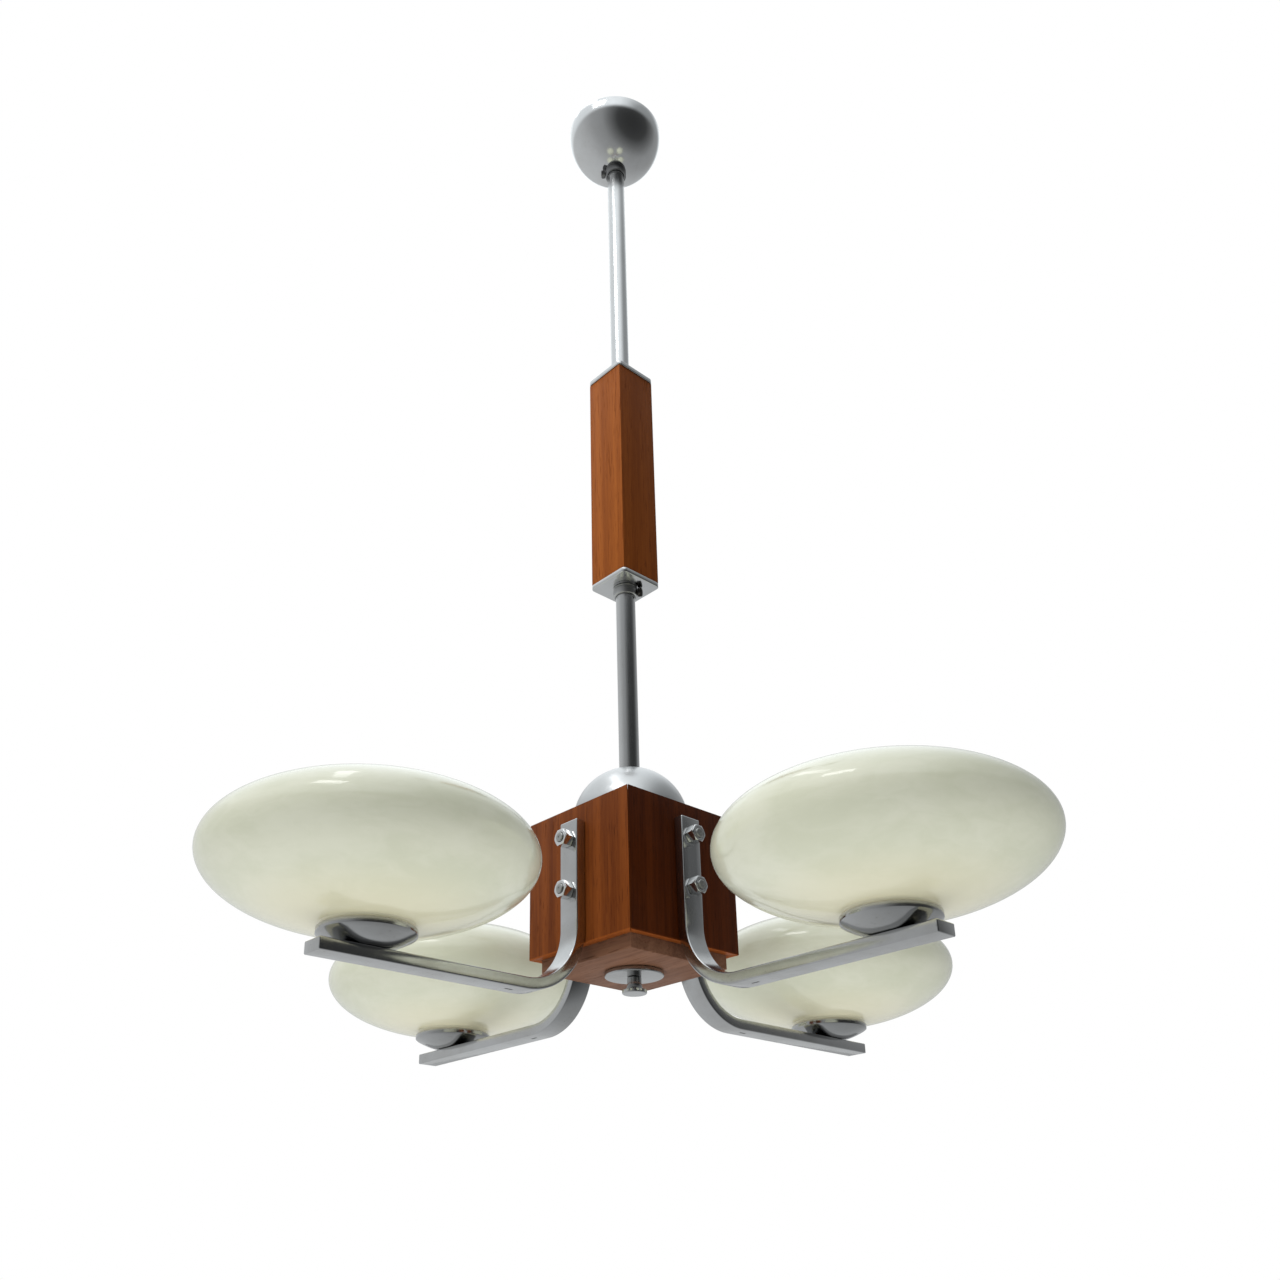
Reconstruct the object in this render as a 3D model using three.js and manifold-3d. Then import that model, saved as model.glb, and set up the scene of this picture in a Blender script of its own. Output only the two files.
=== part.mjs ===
// Four-arm ceiling chandelier: a chromed stem hangs a square wooden box, and four flat arms bolted
// to the box carry closed opal glass shades in shallow dishes.
// Millimetres, +Z up. The origin is where the stem's axis meets the ceiling, at the canopy's rim.
// Arm 1 runs along +X and the others follow every quarter turn, anticlockwise seen from above.

import * as THREE from "three";
import { mergeVertices } from "three/addons/utils/BufferGeometryUtils.js";
import Module from "manifold-3d";

const wasm = await Module();
wasm.setup();

// ---------------------------------------------------------------- driving dimensions

// Fits
const restGap = 0.3; // between two pieces that rest on or are clamped to each other
const slideGap = 0.4; // radial, round whatever slides or turns on a shaft

// Stem: one tube from the ceiling hook to the inside of the box
const stemDiameter = 17.5;
const stemWall = 1.5;
const upperStem = 285; // shown between canopy and block
const lowerStem = 182; // shown between block and dome
const stemTopDrop = 32; // the tube's upper end, below the ceiling

// Hanging eye, screwed into the stem's upper end
const eyeRadius = 9; // to the middle of the wire
const eyeWire = 5;
const eyeFlange = 3;
const eyePlugLength = 18;

// Canopy: a deep cup against the ceiling
const canopyRadius = 48.5;
const canopyWallHeight = 5.5;
const canopyBowlDepth = 47;
const sheetMetal = 1.2;

// Collars that hold the canopy and the block on the stem, each with a radial screw
const collarDiameter = 22;
const collarHeight = 9;
const screwDiameter = 4;
const screwHeadDiameter = 8;
const screwHeadLength = 4.5;
const screwHeadEdge = 0.6;
const blockScrewBearing = 38; // degrees from +X
const canopyScrewBearing = 225;

// Block: a wooden square between two thin plates, partway down the stem
const blockWidth = 43;
const blockLength = 229;
const blockPlateWidth = 45;
const blockPlateThickness = 4.6;
const blockPlateCorner = 4; // radius of its four corners
const plateEdge = 0.8;

// Dome on top of the box
const domeRadius = 48.5;
const domeHeight = 47.5;

// Box: four mitred panels, a top board and a base board that stands proud below
const boxWidth = 120;
const boxHeight = 117;
const panelThickness = 7;
const mitreGap = 0.2;
const topBoardThickness = 12;
const baseBoardThickness = 18;
const baseBoardProud = 11.5;
const boardFit = 0.3; // all round, between a board and the panels

// Washer, knob and tie rod under the box
const washerDiameter = 48;
const washerThickness = 4;
const washerEdge = 0.8;
const knobNeckDiameter = 11.6;
const knobHeadDiameter = 20;
const knobHeight = 13.6;
const knobHeadThickness = 3;
const knobFlareHeight = 5;
const knobCrown = 1; // the rounding of its lower face
const tieRodDiameter = 6;
const tieRodPlugLength = 14;
const tieRodInKnob = 9;

// Stem nut under the top board
const stemNutAcrossFlats = 24;
const stemNutThickness = 7;
const stemBelowNut = 6;

// Terminal block on the base board
const terminalSize = [44, 18, 14];
const terminalOffset = 26;

// Arms: flat box section, bolted upright to a box face and bent out level
const armCount = 4; // one on each side of the box
const armWidth = 20;
const armThickness = 9;
const armWall = 2;
const armBendRadius = 48; // on the upper side
const armTopDrop = 15.8; // arm's upper end, below the top of the box
const armDrop = 35.5; // arm's upper side where it runs level, below the panels' lower edge
const armPastShade = 40.5; // from the middle of a dish to the arm's outer end
const armEdge = 0.9;
const armSlot = [7, 1.6]; // wire slot in the underside, just past the bend
const armSlotPast = 6;

// Bolts and nuts, two to an arm
const boltDiameter = 8;
const boltHeadAcrossFlats = 13;
const boltHeadThickness = 5;
const nutAcrossFlats = 13;
const nutThickness = 8.5;
const boltStandsProud = 1.2;
const upperNutDrop = 15.7; // below the arm's upper end
const nutSpacing = 42.8;

// Dishes on the arms
const shadeReach = 247.5; // axis to the middle of a dish and its shade
const armReach = shadeReach + armPastShade; // axis to the arm's outer end
const dishRadius = 34.3;
const dishHeight = 12.7;
const dishRimHeight = 4.4;
const dishFlat = 13; // radius of its level middle
const dishCurl = 1.5; // how late its underside curves up; 1 is a plain cone

// Shades: closed flattened balls of opal glass with a short neck below
const shadeRadius = 118.5;
const shadeHalfHeight = 49.8;
const glassWall = 3;
const neckFit = 0.5; // all round, between the neck and the dish's rim
const shadeAboveRim = 50.4; // middle of the shade above the dish's rim

// Lampholders and bulbs
const nippleDiameter = 10;
const holderDiameter = 34;
const holderHeight = 38;
const holderWall = 2.6;
const holderFloor = 10;
const holderFoot = 5; // its level foot round the nipple
const holderFlare = 6; // height over which it widens
const nippleEndInArm = 1; // below the arm's upper wall
const capLength = 26;
const capFit = 0.9;
const bulbDiameter = 45;
const bulbNeckDiameter = 24;
const bulbAboveHolder = 27; // middle of the globe above the holder's mouth
const capCone = 4; // height of the cap's tapered end
const bulbShoulder = 3; // height over which the cap gives way to the glass
const bulbFillet = 2; // how much wider the neck is where the globe starts

// Roundness of the solids
const roundSteps = 24;
const knobSteps = 16;
const smallSteps = 12;
const fineSteps = 8;
const quarterSteps = 7; // along a quarter of a circle
const cornerSteps = 4; // round a small corner
const shadeSteps = 10; // from a shade's neck to its top
const flareSteps = 4;
const wireSides = 6;
const eyeSteps = 14;
const cutPast = 1; // how far a cutting tool reaches beyond the piece

// ---------------------------------------------------------------- derived places

const stemRadius = stemDiameter / 2;
const stemBore = stemRadius - stemWall;
const canopyHeight = canopyWallHeight + canopyBowlDepth;
const blockTop = -canopyHeight - upperStem; // upper face of the upper plate
const blockWoodTop = blockTop - blockPlateThickness - restGap;
const blockWoodBottom = blockWoodTop - blockLength;
const blockBottom = blockWoodBottom - restGap - blockPlateThickness;
const domeTop = blockBottom - lowerStem;
const boxTop = domeTop - domeHeight;
const boxBottom = boxTop - boxHeight;
const boxHalf = boxWidth / 2;
const boardWidth = boxWidth - 2 * (panelThickness + boardFit);
const topBoardBottom = boxTop - topBoardThickness;
const stemBottom = topBoardBottom - stemNutThickness - stemBelowNut;
const baseBoardBottom = boxBottom - baseBoardProud;
const baseBoardTop = baseBoardBottom + baseBoardThickness;
const washerBottom = baseBoardBottom - restGap - washerThickness;
const knobTop = washerBottom - restGap;

const armInner = boxHalf + restGap;
const armOuter = armInner + armThickness;
const armTop = boxTop - armTopDrop;
const armLevel = boxBottom - armDrop;
const armBendStart = armLevel + armBendRadius;
const armBendEnd = armOuter + armBendRadius;
const nutHeights = [armTop - upperNutDrop, armTop - upperNutDrop - nutSpacing];
const nutNames = ["upper", "lower"];

const dishBottom = armLevel + restGap;
const dishRim = dishBottom + dishHeight;
const neckRadius = dishRadius - sheetMetal - neckFit;
const shadeMiddle = dishRim + shadeAboveRim;
const holderBottom = dishBottom + sheetMetal + restGap;
const holderTop = holderBottom + holderHeight;
const capBottom = holderTop - capLength;

// ---------------------------------------------------------------- shape helpers

// A closed geometry as a manifold-3d solid.
function toSolid(geometry) {
  const bare = geometry.clone();
  bare.deleteAttribute("normal");
  bare.deleteAttribute("uv");
  const merged = mergeVertices(bare, 1e-4);
  return new wasm.Manifold(
    new wasm.Mesh({
      numProp: 3,
      vertProperties: new Float32Array(merged.attributes.position.array),
      triVerts: new Uint32Array(merged.index.array),
    }),
  );
}

// A manifold-3d solid as a geometry.
function toGeometry(solid) {
  const mesh = solid.getMesh();
  const geometry = new THREE.BufferGeometry();
  geometry.setAttribute("position", new THREE.BufferAttribute(new Float32Array(mesh.vertProperties), 3));
  geometry.setIndex(new THREE.BufferAttribute(new Uint32Array(mesh.triVerts), 1));
  geometry.computeVertexNormals();
  return geometry;
}

function cut(body, ...tools) {
  return toGeometry(tools.reduce((solid, tool) => solid.subtract(toSolid(tool)), toSolid(body)));
}

function join(first, ...others) {
  return toGeometry(others.reduce((solid, other) => solid.add(toSolid(other)), toSolid(first)));
}

// A profile of [radius, height] points, turned round the Z axis. It runs up the outside.
function turned(profile, steps = roundSteps) {
  const points = profile.map(([radius, height]) => new THREE.Vector2(radius, height));
  return new THREE.LatheGeometry(points, steps).rotateX(Math.PI / 2);
}

// A straight tube or ring standing on the Z axis.
function ring(outerRadius, innerRadius, bottom, top, steps = roundSteps) {
  return turned(
    [
      [innerRadius, bottom],
      [outerRadius, bottom],
      [outerRadius, top],
      [innerRadius, top],
      [innerRadius, bottom],
    ],
    steps,
  );
}

// A solid rod standing on the Z axis.
function rod(radius, bottom, top, steps = fineSteps) {
  return turned([[0, bottom], [radius, bottom], [radius, top], [0, top]], steps);
}

// A cutting rod whose flats, not its corners, lie at the radius, so that a shaft clears all of it.
function bore(radius, bottom, top, steps = fineSteps) {
  return rod(radius / Math.cos(Math.PI / steps), bottom, top, steps);
}

// An outline in X and Y, raised from bottom to top, with an optional softened edge.
function raised(shape, bottom, top, edge = 0, curveSegments = quarterSteps) {
  const geometry = new THREE.ExtrudeGeometry(shape, {
    depth: top - bottom - 2 * edge,
    steps: 1,
    curveSegments,
    bevelEnabled: edge > 0,
    bevelThickness: edge,
    bevelSize: edge,
    bevelOffset: -edge,
    bevelSegments: 1,
  });
  return geometry.translate(0, 0, bottom + edge);
}

function polygon(points) {
  return new THREE.Shape(points.map(([x, y]) => new THREE.Vector2(x, y)));
}

function square(width) {
  const half = width / 2;
  return polygon([[-half, -half], [half, -half], [half, half], [-half, half]]);
}

function roundedSquare(width, corner) {
  const centre = width / 2 - corner;
  const shape = new THREE.Shape();
  shape.absarc(centre, centre, corner, 0, Math.PI / 2);
  shape.absarc(-centre, centre, corner, Math.PI / 2, Math.PI);
  shape.absarc(-centre, -centre, corner, Math.PI, 1.5 * Math.PI);
  shape.absarc(centre, -centre, corner, 1.5 * Math.PI, 2 * Math.PI);
  return shape;
}

function hexagon(acrossFlats) {
  const corner = acrossFlats / Math.sqrt(3);
  const turns = [0, 1, 2, 3, 4, 5].map((side) => (side * Math.PI) / 3);
  return polygon(turns.map((turn) => [corner * Math.cos(turn), corner * Math.sin(turn)]));
}

// Points [radius, height] on an ellipse about [0, middle], between two angles in radians.
function ellipseArc(radius, halfHeight, middle, from, to, steps) {
  return Array.from({ length: steps + 1 }, (_, i) => {
    const angle = from + ((to - from) * i) / steps;
    return [Math.max(0, radius * Math.cos(angle)), middle + halfHeight * Math.sin(angle)];
  });
}

// Lays a shape that stands on the Z axis along +X instead.
const alongX = (geometry) => geometry.rotateY(Math.PI / 2);

// ---------------------------------------------------------------- finishes

const finish = (color, roughness, metalness) => ({ color, roughness, metalness });
const chrome = finish(0xb9bbbd, 0.2, 1);
const darkSteel = finish(0x2a2a2b, 0.45, 0.8);
const steel = finish(0x8d8f92, 0.4, 0.9);
const veneer = finish(0x8a4a22, 0.45, 0);
const board = finish(0x7a5038, 0.55, 0);
const opal = finish(0xdadac4, 0.12, 0);
const porcelain = finish(0xe8e6df, 0.3, 0);
const bulbGlass = finish(0xf2f1ea, 0.15, 0);
const plastic = finish(0xd9d4c6, 0.5, 0);

const chandelier = new THREE.Group();

function add(name, geometry, look, parent = chandelier) {
  const mesh = new THREE.Mesh(geometry, new THREE.MeshStandardMaterial(look));
  mesh.name = name;
  parent.add(mesh);
  return mesh;
}

// ---------------------------------------------------------------- stem and what hangs it

add("stem", ring(stemRadius, stemBore, stemBottom, -stemTopDrop), chrome);

function hangingEye() {
  const plugRadius = stemBore - restGap;
  const flangeBottom = -stemTopDrop + restGap;
  const flangeTop = flangeBottom + eyeFlange;
  const wireRadius = eyeWire / 2;
  const plug = turned(
    [
      [0, -stemTopDrop - eyePlugLength],
      [plugRadius, -stemTopDrop - eyePlugLength],
      [plugRadius, flangeBottom],
      [stemRadius, flangeBottom],
      [stemRadius, flangeTop],
      [0, flangeTop],
    ],
    fineSteps,
  );
  const loop = new THREE.TorusGeometry(eyeRadius, wireRadius, wireSides, eyeSteps).rotateX(Math.PI / 2);
  loop.translate(0, 0, flangeTop + eyeRadius + wireRadius / 2);
  return join(plug, loop);
}
add("hanging_eye", hangingEye(), steel);

// ---------------------------------------------------------------- canopy

// A cup open upwards: outside up from the stem hole to the rim, then down the inside.
function canopyCup() {
  const hole = stemRadius + slideGap;
  const outsideStart = -Math.acos(hole / canopyRadius);
  const innerRadius = canopyRadius - sheetMetal;
  const insideStart = -Math.acos(hole / innerRadius);
  const innerDepth = canopyBowlDepth - sheetMetal;
  const wallFoot = -canopyWallHeight;
  const outside = ellipseArc(canopyRadius, canopyBowlDepth, wallFoot, outsideStart, 0, quarterSteps);
  const inside = ellipseArc(innerRadius, innerDepth, wallFoot, 0, insideStart, quarterSteps);
  return turned([...outside, [canopyRadius, 0], [innerRadius, 0], ...inside, outside[0]]);
}
add("canopy", canopyCup(), chrome);

// A ring round the stem with a radial hole for its screw.
function collarAt(top, bearing) {
  const body = ring(collarDiameter / 2, stemRadius + slideGap, top - collarHeight, top, roundSteps);
  const drill = alongX(bore(screwDiameter / 2 + restGap, stemRadius / 2, collarDiameter));
  drill.rotateZ(THREE.MathUtils.degToRad(bearing)).translate(0, 0, top - collarHeight / 2);
  return cut(body, drill);
}

// The collar's screw: a plain shank that stops short of the stem, and a round head outside.
function collarScrewAt(top, bearing) {
  const tip = stemRadius + restGap;
  const headStart = collarDiameter / 2 + restGap;
  const headEnd = headStart + screwHeadLength;
  const headRadius = screwHeadDiameter / 2;
  const profile = [
    [0, tip],
    [screwDiameter / 2, tip],
    [screwDiameter / 2, headStart],
    [headRadius, headStart],
    [headRadius, headEnd - screwHeadEdge],
    [headRadius - screwHeadEdge, headEnd],
    [0, headEnd],
  ];
  const screw = alongX(turned(profile, fineSteps));
  return screw.rotateZ(THREE.MathUtils.degToRad(bearing)).translate(0, 0, top - collarHeight / 2);
}

// The bowl is lowest at the hole's edge, so the collar meets it there.
const canopyHoleAngle = Math.acos((stemRadius + slideGap) / canopyRadius);
const canopyHoleLift = canopyBowlDepth * (1 - Math.sin(canopyHoleAngle));
const canopyCollarTop = -canopyHeight + canopyHoleLift - restGap;
add("canopy_collar", collarAt(canopyCollarTop, canopyScrewBearing), darkSteel);
add("canopy_screw", collarScrewAt(canopyCollarTop, canopyScrewBearing), darkSteel);

// ---------------------------------------------------------------- block on the stem

const stemHole = (bottom, top) => bore(stemRadius + slideGap, bottom, top, roundSteps);

function drilled(outline, bottom, top, edge = 0) {
  return cut(raised(outline, bottom, top, edge, cornerSteps), stemHole(bottom - cutPast, top + cutPast));
}

function blockPlate(bottom) {
  const outline = roundedSquare(blockPlateWidth, blockPlateCorner);
  return drilled(outline, bottom, bottom + blockPlateThickness, plateEdge);
}
add("block_top_plate", blockPlate(blockWoodTop + restGap), chrome);
add("block", drilled(square(blockWidth), blockWoodBottom, blockWoodTop), veneer);
add("block_bottom_plate", blockPlate(blockBottom), chrome);
add("block_collar", collarAt(blockBottom - restGap, blockScrewBearing), chrome);
add("block_screw", collarScrewAt(blockBottom - restGap, blockScrewBearing), darkSteel);

// ---------------------------------------------------------------- dome on the box

function dome() {
  const hole = stemRadius + slideGap;
  const foot = boxTop + restGap;
  const rise = domeTop - foot;
  const innerRadius = domeRadius - sheetMetal;
  const outsideEnd = Math.acos(hole / domeRadius);
  const insideEnd = Math.acos(hole / innerRadius);
  const outside = ellipseArc(domeRadius, rise, foot, 0, outsideEnd, quarterSteps);
  const inside = ellipseArc(innerRadius, rise - sheetMetal, foot, insideEnd, 0, quarterSteps);
  return turned([...outside, ...inside, outside[0]]);
}
add("dome", dome(), chrome);

// ---------------------------------------------------------------- box

// A cutting rod for a bolt, lying along +X between two faces.
function boltHole(from, to) {
  return alongX(bore(boltDiameter / 2 + slideGap, from - cutPast, to + cutPast));
}

// One side of the box, lying on +X, with a hole for each bolt.
function boxPanel() {
  const inner = boxHalf - panelThickness;
  const outline = polygon([
    [inner, -inner + mitreGap],
    [boxHalf, -boxHalf + mitreGap],
    [boxHalf, boxHalf - mitreGap],
    [inner, inner - mitreGap],
  ]);
  const holes = nutHeights.map((height) =>
    boltHole(inner, boxHalf).translate(0, 0, height),
  );
  return cut(raised(outline, boxBottom, boxTop), ...holes);
}

add("box_top_board", drilled(square(boardWidth), topBoardBottom, boxTop), board);

function baseBoard() {
  const holeRadius = tieRodDiameter / 2 + slideGap;
  const hole = bore(holeRadius, baseBoardBottom - cutPast, baseBoardTop + cutPast);
  return cut(raised(square(boardWidth), baseBoardBottom, baseBoardTop), hole);
}
add("base_board", baseBoard(), board);

function stemNut() {
  const top = topBoardBottom - restGap;
  const bottom = top - stemNutThickness;
  return cut(raised(hexagon(stemNutAcrossFlats), bottom, top), stemHole(bottom - cutPast, top + cutPast));
}
add("stem_nut", stemNut(), steel);

// A plug that screws into the stem, with a thin rod down to the knob.
function tieRod() {
  const plugRadius = stemBore - restGap;
  const thin = tieRodDiameter / 2;
  return turned(
    [
      [0, knobTop - tieRodInKnob],
      [thin, knobTop - tieRodInKnob],
      [thin, stemBottom],
      [plugRadius, stemBottom],
      [plugRadius, stemBottom + tieRodPlugLength],
      [0, stemBottom + tieRodPlugLength],
    ],
    fineSteps,
  );
}
add("tie_rod", tieRod(), steel);

function baseWasher() {
  const outer = washerDiameter / 2;
  const inner = tieRodDiameter / 2 + slideGap;
  const top = washerBottom + washerThickness;
  return turned([
    [inner, washerBottom],
    [outer - washerEdge, washerBottom],
    [outer, washerBottom + washerEdge],
    [outer, top - washerEdge],
    [outer - washerEdge, top],
    [inner, top],
    [inner, washerBottom],
  ]);
}
add("base_washer", baseWasher(), chrome);

// A trumpet: slim neck above, flaring to a round head, with a blind hole for the tie rod.
function baseKnob() {
  const bottom = knobTop - knobHeight;
  const neck = knobNeckDiameter / 2;
  const head = knobHeadDiameter / 2;
  const flareBottom = bottom + knobHeadThickness;
  const thread = tieRodDiameter / 2 + slideGap;
  const threadDepth = tieRodInKnob + restGap;
  const flare = Array.from({ length: flareSteps + 1 }, (_, i) => {
    const angle = (i / flareSteps) * (Math.PI / 2);
    return [head - (head - neck) * Math.sin(angle), flareBottom + knobFlareHeight * (1 - Math.cos(angle))];
  });
  return turned(
    [
      [0, bottom],
      [head - knobCrown, bottom + knobCrown / 2],
      [head, bottom + knobCrown],
      ...flare,
      [neck, knobTop],
      [thread, knobTop],
      [thread, knobTop - threadDepth],
      [0, knobTop - threadDepth],
    ],
    knobSteps,
  );
}
add("base_knob", baseKnob(), chrome);

function terminalBlock() {
  const [length, width, height] = terminalSize;
  const body = new THREE.BoxGeometry(length, width, height);
  return body.translate(0, terminalOffset, baseBoardTop + restGap + height / 2);
}
add("terminal_block", terminalBlock(), plastic);

// ---------------------------------------------------------------- one arm and what it carries

// The arm seen from the side: X outwards, Y up. inset shrinks it to the hollow inside.
function armOutline(inset, topEnd) {
  const shape = new THREE.Shape();
  const centreX = armBendEnd;
  const centreY = armBendStart;
  shape.moveTo(armInner + inset, topEnd);
  shape.lineTo(armInner + inset, armBendStart);
  shape.absarc(centreX, centreY, armBendRadius + armThickness - inset, Math.PI, 1.5 * Math.PI, false);
  shape.lineTo(armReach - inset, armLevel - armThickness + inset);
  shape.lineTo(armReach - inset, armLevel - inset);
  shape.lineTo(centreX, armLevel - inset);
  shape.absarc(centreX, centreY, armBendRadius + inset, 1.5 * Math.PI, Math.PI, true);
  shape.lineTo(armOuter - inset, topEnd);
  return shape;
}

// Stands a side outline upright on X and Z, centred across Y.
function acrossArm(shape, width, edge = 0) {
  return raised(shape, -width / 2, width / 2, edge).rotateX(Math.PI / 2);
}

function arm() {
  const hollow = acrossArm(armOutline(armWall, armTop + cutPast), armWidth - 2 * armWall);
  const bolts = nutHeights.map((height) => boltHole(armInner, armOuter).translate(0, 0, height));
  const nippleHoleRadius = nippleDiameter / 2 + slideGap;
  const nippleHole = bore(nippleHoleRadius, armLevel - armWall - cutPast, armLevel + cutPast);
  nippleHole.translate(shadeReach, 0, 0);
  const [slotLength, slotWidth] = armSlot;
  const slot = new THREE.BoxGeometry(slotLength, slotWidth, 2 * armWall);
  slot.translate(armBendEnd + armSlotPast + slotLength / 2, 0, armLevel - armThickness);
  const bar = acrossArm(armOutline(0, armTop), armWidth, armEdge);
  return cut(bar, hollow, ...bolts, nippleHole, slot);
}

// A hexagon prism along +X between two distances.
function hexPrism(acrossFlats, from, to) {
  return alongX(raised(hexagon(acrossFlats), from, to));
}

function armNut() {
  const from = armOuter + restGap;
  const to = from + nutThickness;
  return cut(hexPrism(nutAcrossFlats, from, to), boltHole(from, to));
}

function armBolt() {
  const headOuter = boxHalf - panelThickness - restGap;
  const headInner = headOuter - boltHeadThickness;
  const head = hexPrism(boltHeadAcrossFlats, headInner, headOuter);
  const end = armOuter + restGap + nutThickness + boltStandsProud;
  return join(head, alongX(rod(boltDiameter / 2, headInner + boltHeadThickness / 2, end)));
}

// The dish's underside height at a radius: level in the middle, then curving up to the rim.
function dishUnderside(radius) {
  const share = Math.max(0, radius - dishFlat) / (dishRadius - dishFlat);
  return dishBottom + (dishHeight - dishRimHeight) * share ** dishCurl;
}

function dish() {
  const hole = nippleDiameter / 2 + slideGap;
  const halfway = (dishFlat + dishRadius) / 2;
  const outside = [dishFlat, halfway, dishRadius].map((radius) => [radius, dishUnderside(radius)]);
  const inside = [dishRadius - sheetMetal, halfway, dishFlat].map((radius) => [
    radius,
    dishUnderside(radius) + sheetMetal,
  ]);
  return turned([
    [hole, dishBottom],
    ...outside,
    [dishRadius, dishRim],
    [dishRadius - sheetMetal, dishRim],
    ...inside,
    [hole, dishBottom + sheetMetal],
    [hole, dishBottom],
  ]);
}

// A flattened ball with a short neck that stands in the dish.
function shade() {
  const neckBottom = dishUnderside(neckRadius) + sheetMetal + restGap;
  const innerRadius = shadeRadius - glassWall;
  const innerHalf = shadeHalfHeight - glassWall;
  const innerNeck = neckRadius - glassWall;
  const outsideStart = -Math.acos(neckRadius / shadeRadius);
  const insideEnd = -Math.acos(innerNeck / innerRadius);
  const pole = Math.PI / 2;
  const outside = ellipseArc(shadeRadius, shadeHalfHeight, shadeMiddle, outsideStart, pole, shadeSteps);
  const inside = ellipseArc(innerRadius, innerHalf, shadeMiddle, pole, insideEnd, shadeSteps);
  return turned([
    ...outside,
    ...inside,
    [innerNeck, neckBottom],
    [neckRadius, neckBottom],
    outside[0],
  ]);
}

// A cup for the bulb's cap, on a threaded nipple that goes through the dish into the arm.
function lampholder() {
  const nipple = nippleDiameter / 2;
  const nippleEnd = armLevel - armWall - nippleEndInArm;
  const outer = holderDiameter / 2;
  const inner = outer - holderWall;
  return turned(
    [
      [0, nippleEnd],
      [nipple, nippleEnd],
      [nipple, holderBottom],
      [nipple + holderFoot, holderBottom],
      [outer, holderBottom + holderFlare],
      [outer, holderTop],
      [inner, holderTop],
      [inner, holderBottom + holderFloor],
      [0, holderBottom + holderFloor],
    ],
    smallSteps,
  );
}

function bulb() {
  const cap = holderDiameter / 2 - holderWall - capFit;
  const globe = bulbDiameter / 2;
  const neck = bulbNeckDiameter / 2;
  const middle = holderTop + bulbAboveHolder;
  const globeStart = -Math.acos((neck + bulbFillet) / globe);
  return turned(
    [
      [0, capBottom],
      [cap / 2, capBottom],
      [cap, capBottom + capCone],
      [cap, holderTop - bulbShoulder],
      [neck, holderTop],
      ...ellipseArc(globe, globe, middle, globeStart, Math.PI / 2, quarterSteps),
    ],
    smallSteps,
  );
}

for (let number = 1; number <= armCount; number++) {
  const side = new THREE.Group();
  side.rotation.z = ((number - 1) * 2 * Math.PI) / armCount;
  chandelier.add(side);
  add(`box_panel_${number}`, boxPanel(), veneer, side);
  add(`arm_${number}`, arm(), chrome, side);
  nutHeights.forEach((height, i) => {
    add(`arm_nut_${number}_${nutNames[i]}`, armNut(), chrome, side).position.z = height;
    add(`arm_bolt_${number}_${nutNames[i]}`, armBolt(), steel, side).position.z = height;
  });

  const light = new THREE.Group();
  light.position.x = shadeReach;
  side.add(light);
  add(`dish_${number}`, dish(), chrome, light);
  add(`lampholder_${number}`, lampholder(), porcelain, light);
  add(`bulb_${number}`, bulb(), bulbGlass, light);
  add(`shade_${number}`, shade(), opal, light);
}

export default chandelier;
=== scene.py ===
# %% [markdown]
# # A four-arm chandelier with opal glass shades
# A chromed tube hangs a square wooden box. Four flat chromed arms are bolted to the box's sides, and each
# carries a closed, flattened ball of opal glass in a shallow dish. Every piece below is modelled the way
# one would by hand: a simple outline is placed at its real size, shaped in edit mode, and finished with
# modifiers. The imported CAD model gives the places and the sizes, in metres.

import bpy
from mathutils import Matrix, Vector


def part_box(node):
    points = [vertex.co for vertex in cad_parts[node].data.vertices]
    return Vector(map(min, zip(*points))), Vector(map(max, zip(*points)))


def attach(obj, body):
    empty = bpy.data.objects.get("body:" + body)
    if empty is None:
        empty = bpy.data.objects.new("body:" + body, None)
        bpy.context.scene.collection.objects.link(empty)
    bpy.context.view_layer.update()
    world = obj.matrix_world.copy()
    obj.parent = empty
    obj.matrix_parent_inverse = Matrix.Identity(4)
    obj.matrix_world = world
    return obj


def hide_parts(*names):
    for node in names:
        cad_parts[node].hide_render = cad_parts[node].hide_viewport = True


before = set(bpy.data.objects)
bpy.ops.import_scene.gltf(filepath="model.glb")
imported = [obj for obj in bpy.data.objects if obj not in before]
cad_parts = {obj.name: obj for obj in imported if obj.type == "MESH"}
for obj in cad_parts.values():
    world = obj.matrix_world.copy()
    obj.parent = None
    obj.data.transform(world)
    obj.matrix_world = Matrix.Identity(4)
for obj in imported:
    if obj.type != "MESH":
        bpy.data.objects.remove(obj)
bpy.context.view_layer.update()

# %% [markdown]
# ## Millimetres in a world of metres
# Blender counts in metres, and a lamp's sizes are easier to read in millimetres, so one name turns them into
# metres. The four arms stand at quarter turns, so most things are made once and copied for numbers 1 to 4.

# %% Units and the other modules
import math

import bmesh
import bpy
from mathutils import Matrix, Vector

mm = 0.001
arm_numbers = (1, 2, 3, 4)
shade_reach = sum(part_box("shade_1")[i].x for i in (0, 1)) / 2
print("the shades' axes lie", round(shade_reach / mm, 1), "mm from the stem's")

# %% [markdown]
# ## The camera
# The viewer stands below the lamp, about a metre from its stem, and looks up at it past the corner between
# arms 4 and 1. A camera could be aimed with a constraint, but writing its place and its three turns keeps
# every number readable: turn to face the stem, tip up, then roll a little. The frame is shifted upwards
# instead of tipping the camera further, which keeps the wooden block's sides nearly parallel.

# %% Camera
camera_distance = 963.8 * mm
camera_height = -1181.3 * mm
camera_bearing = math.radians(46.29)
camera_turn = math.radians(0.88)
camera_pitch = math.radians(22.38)
camera_roll = math.radians(-0.99)

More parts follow.
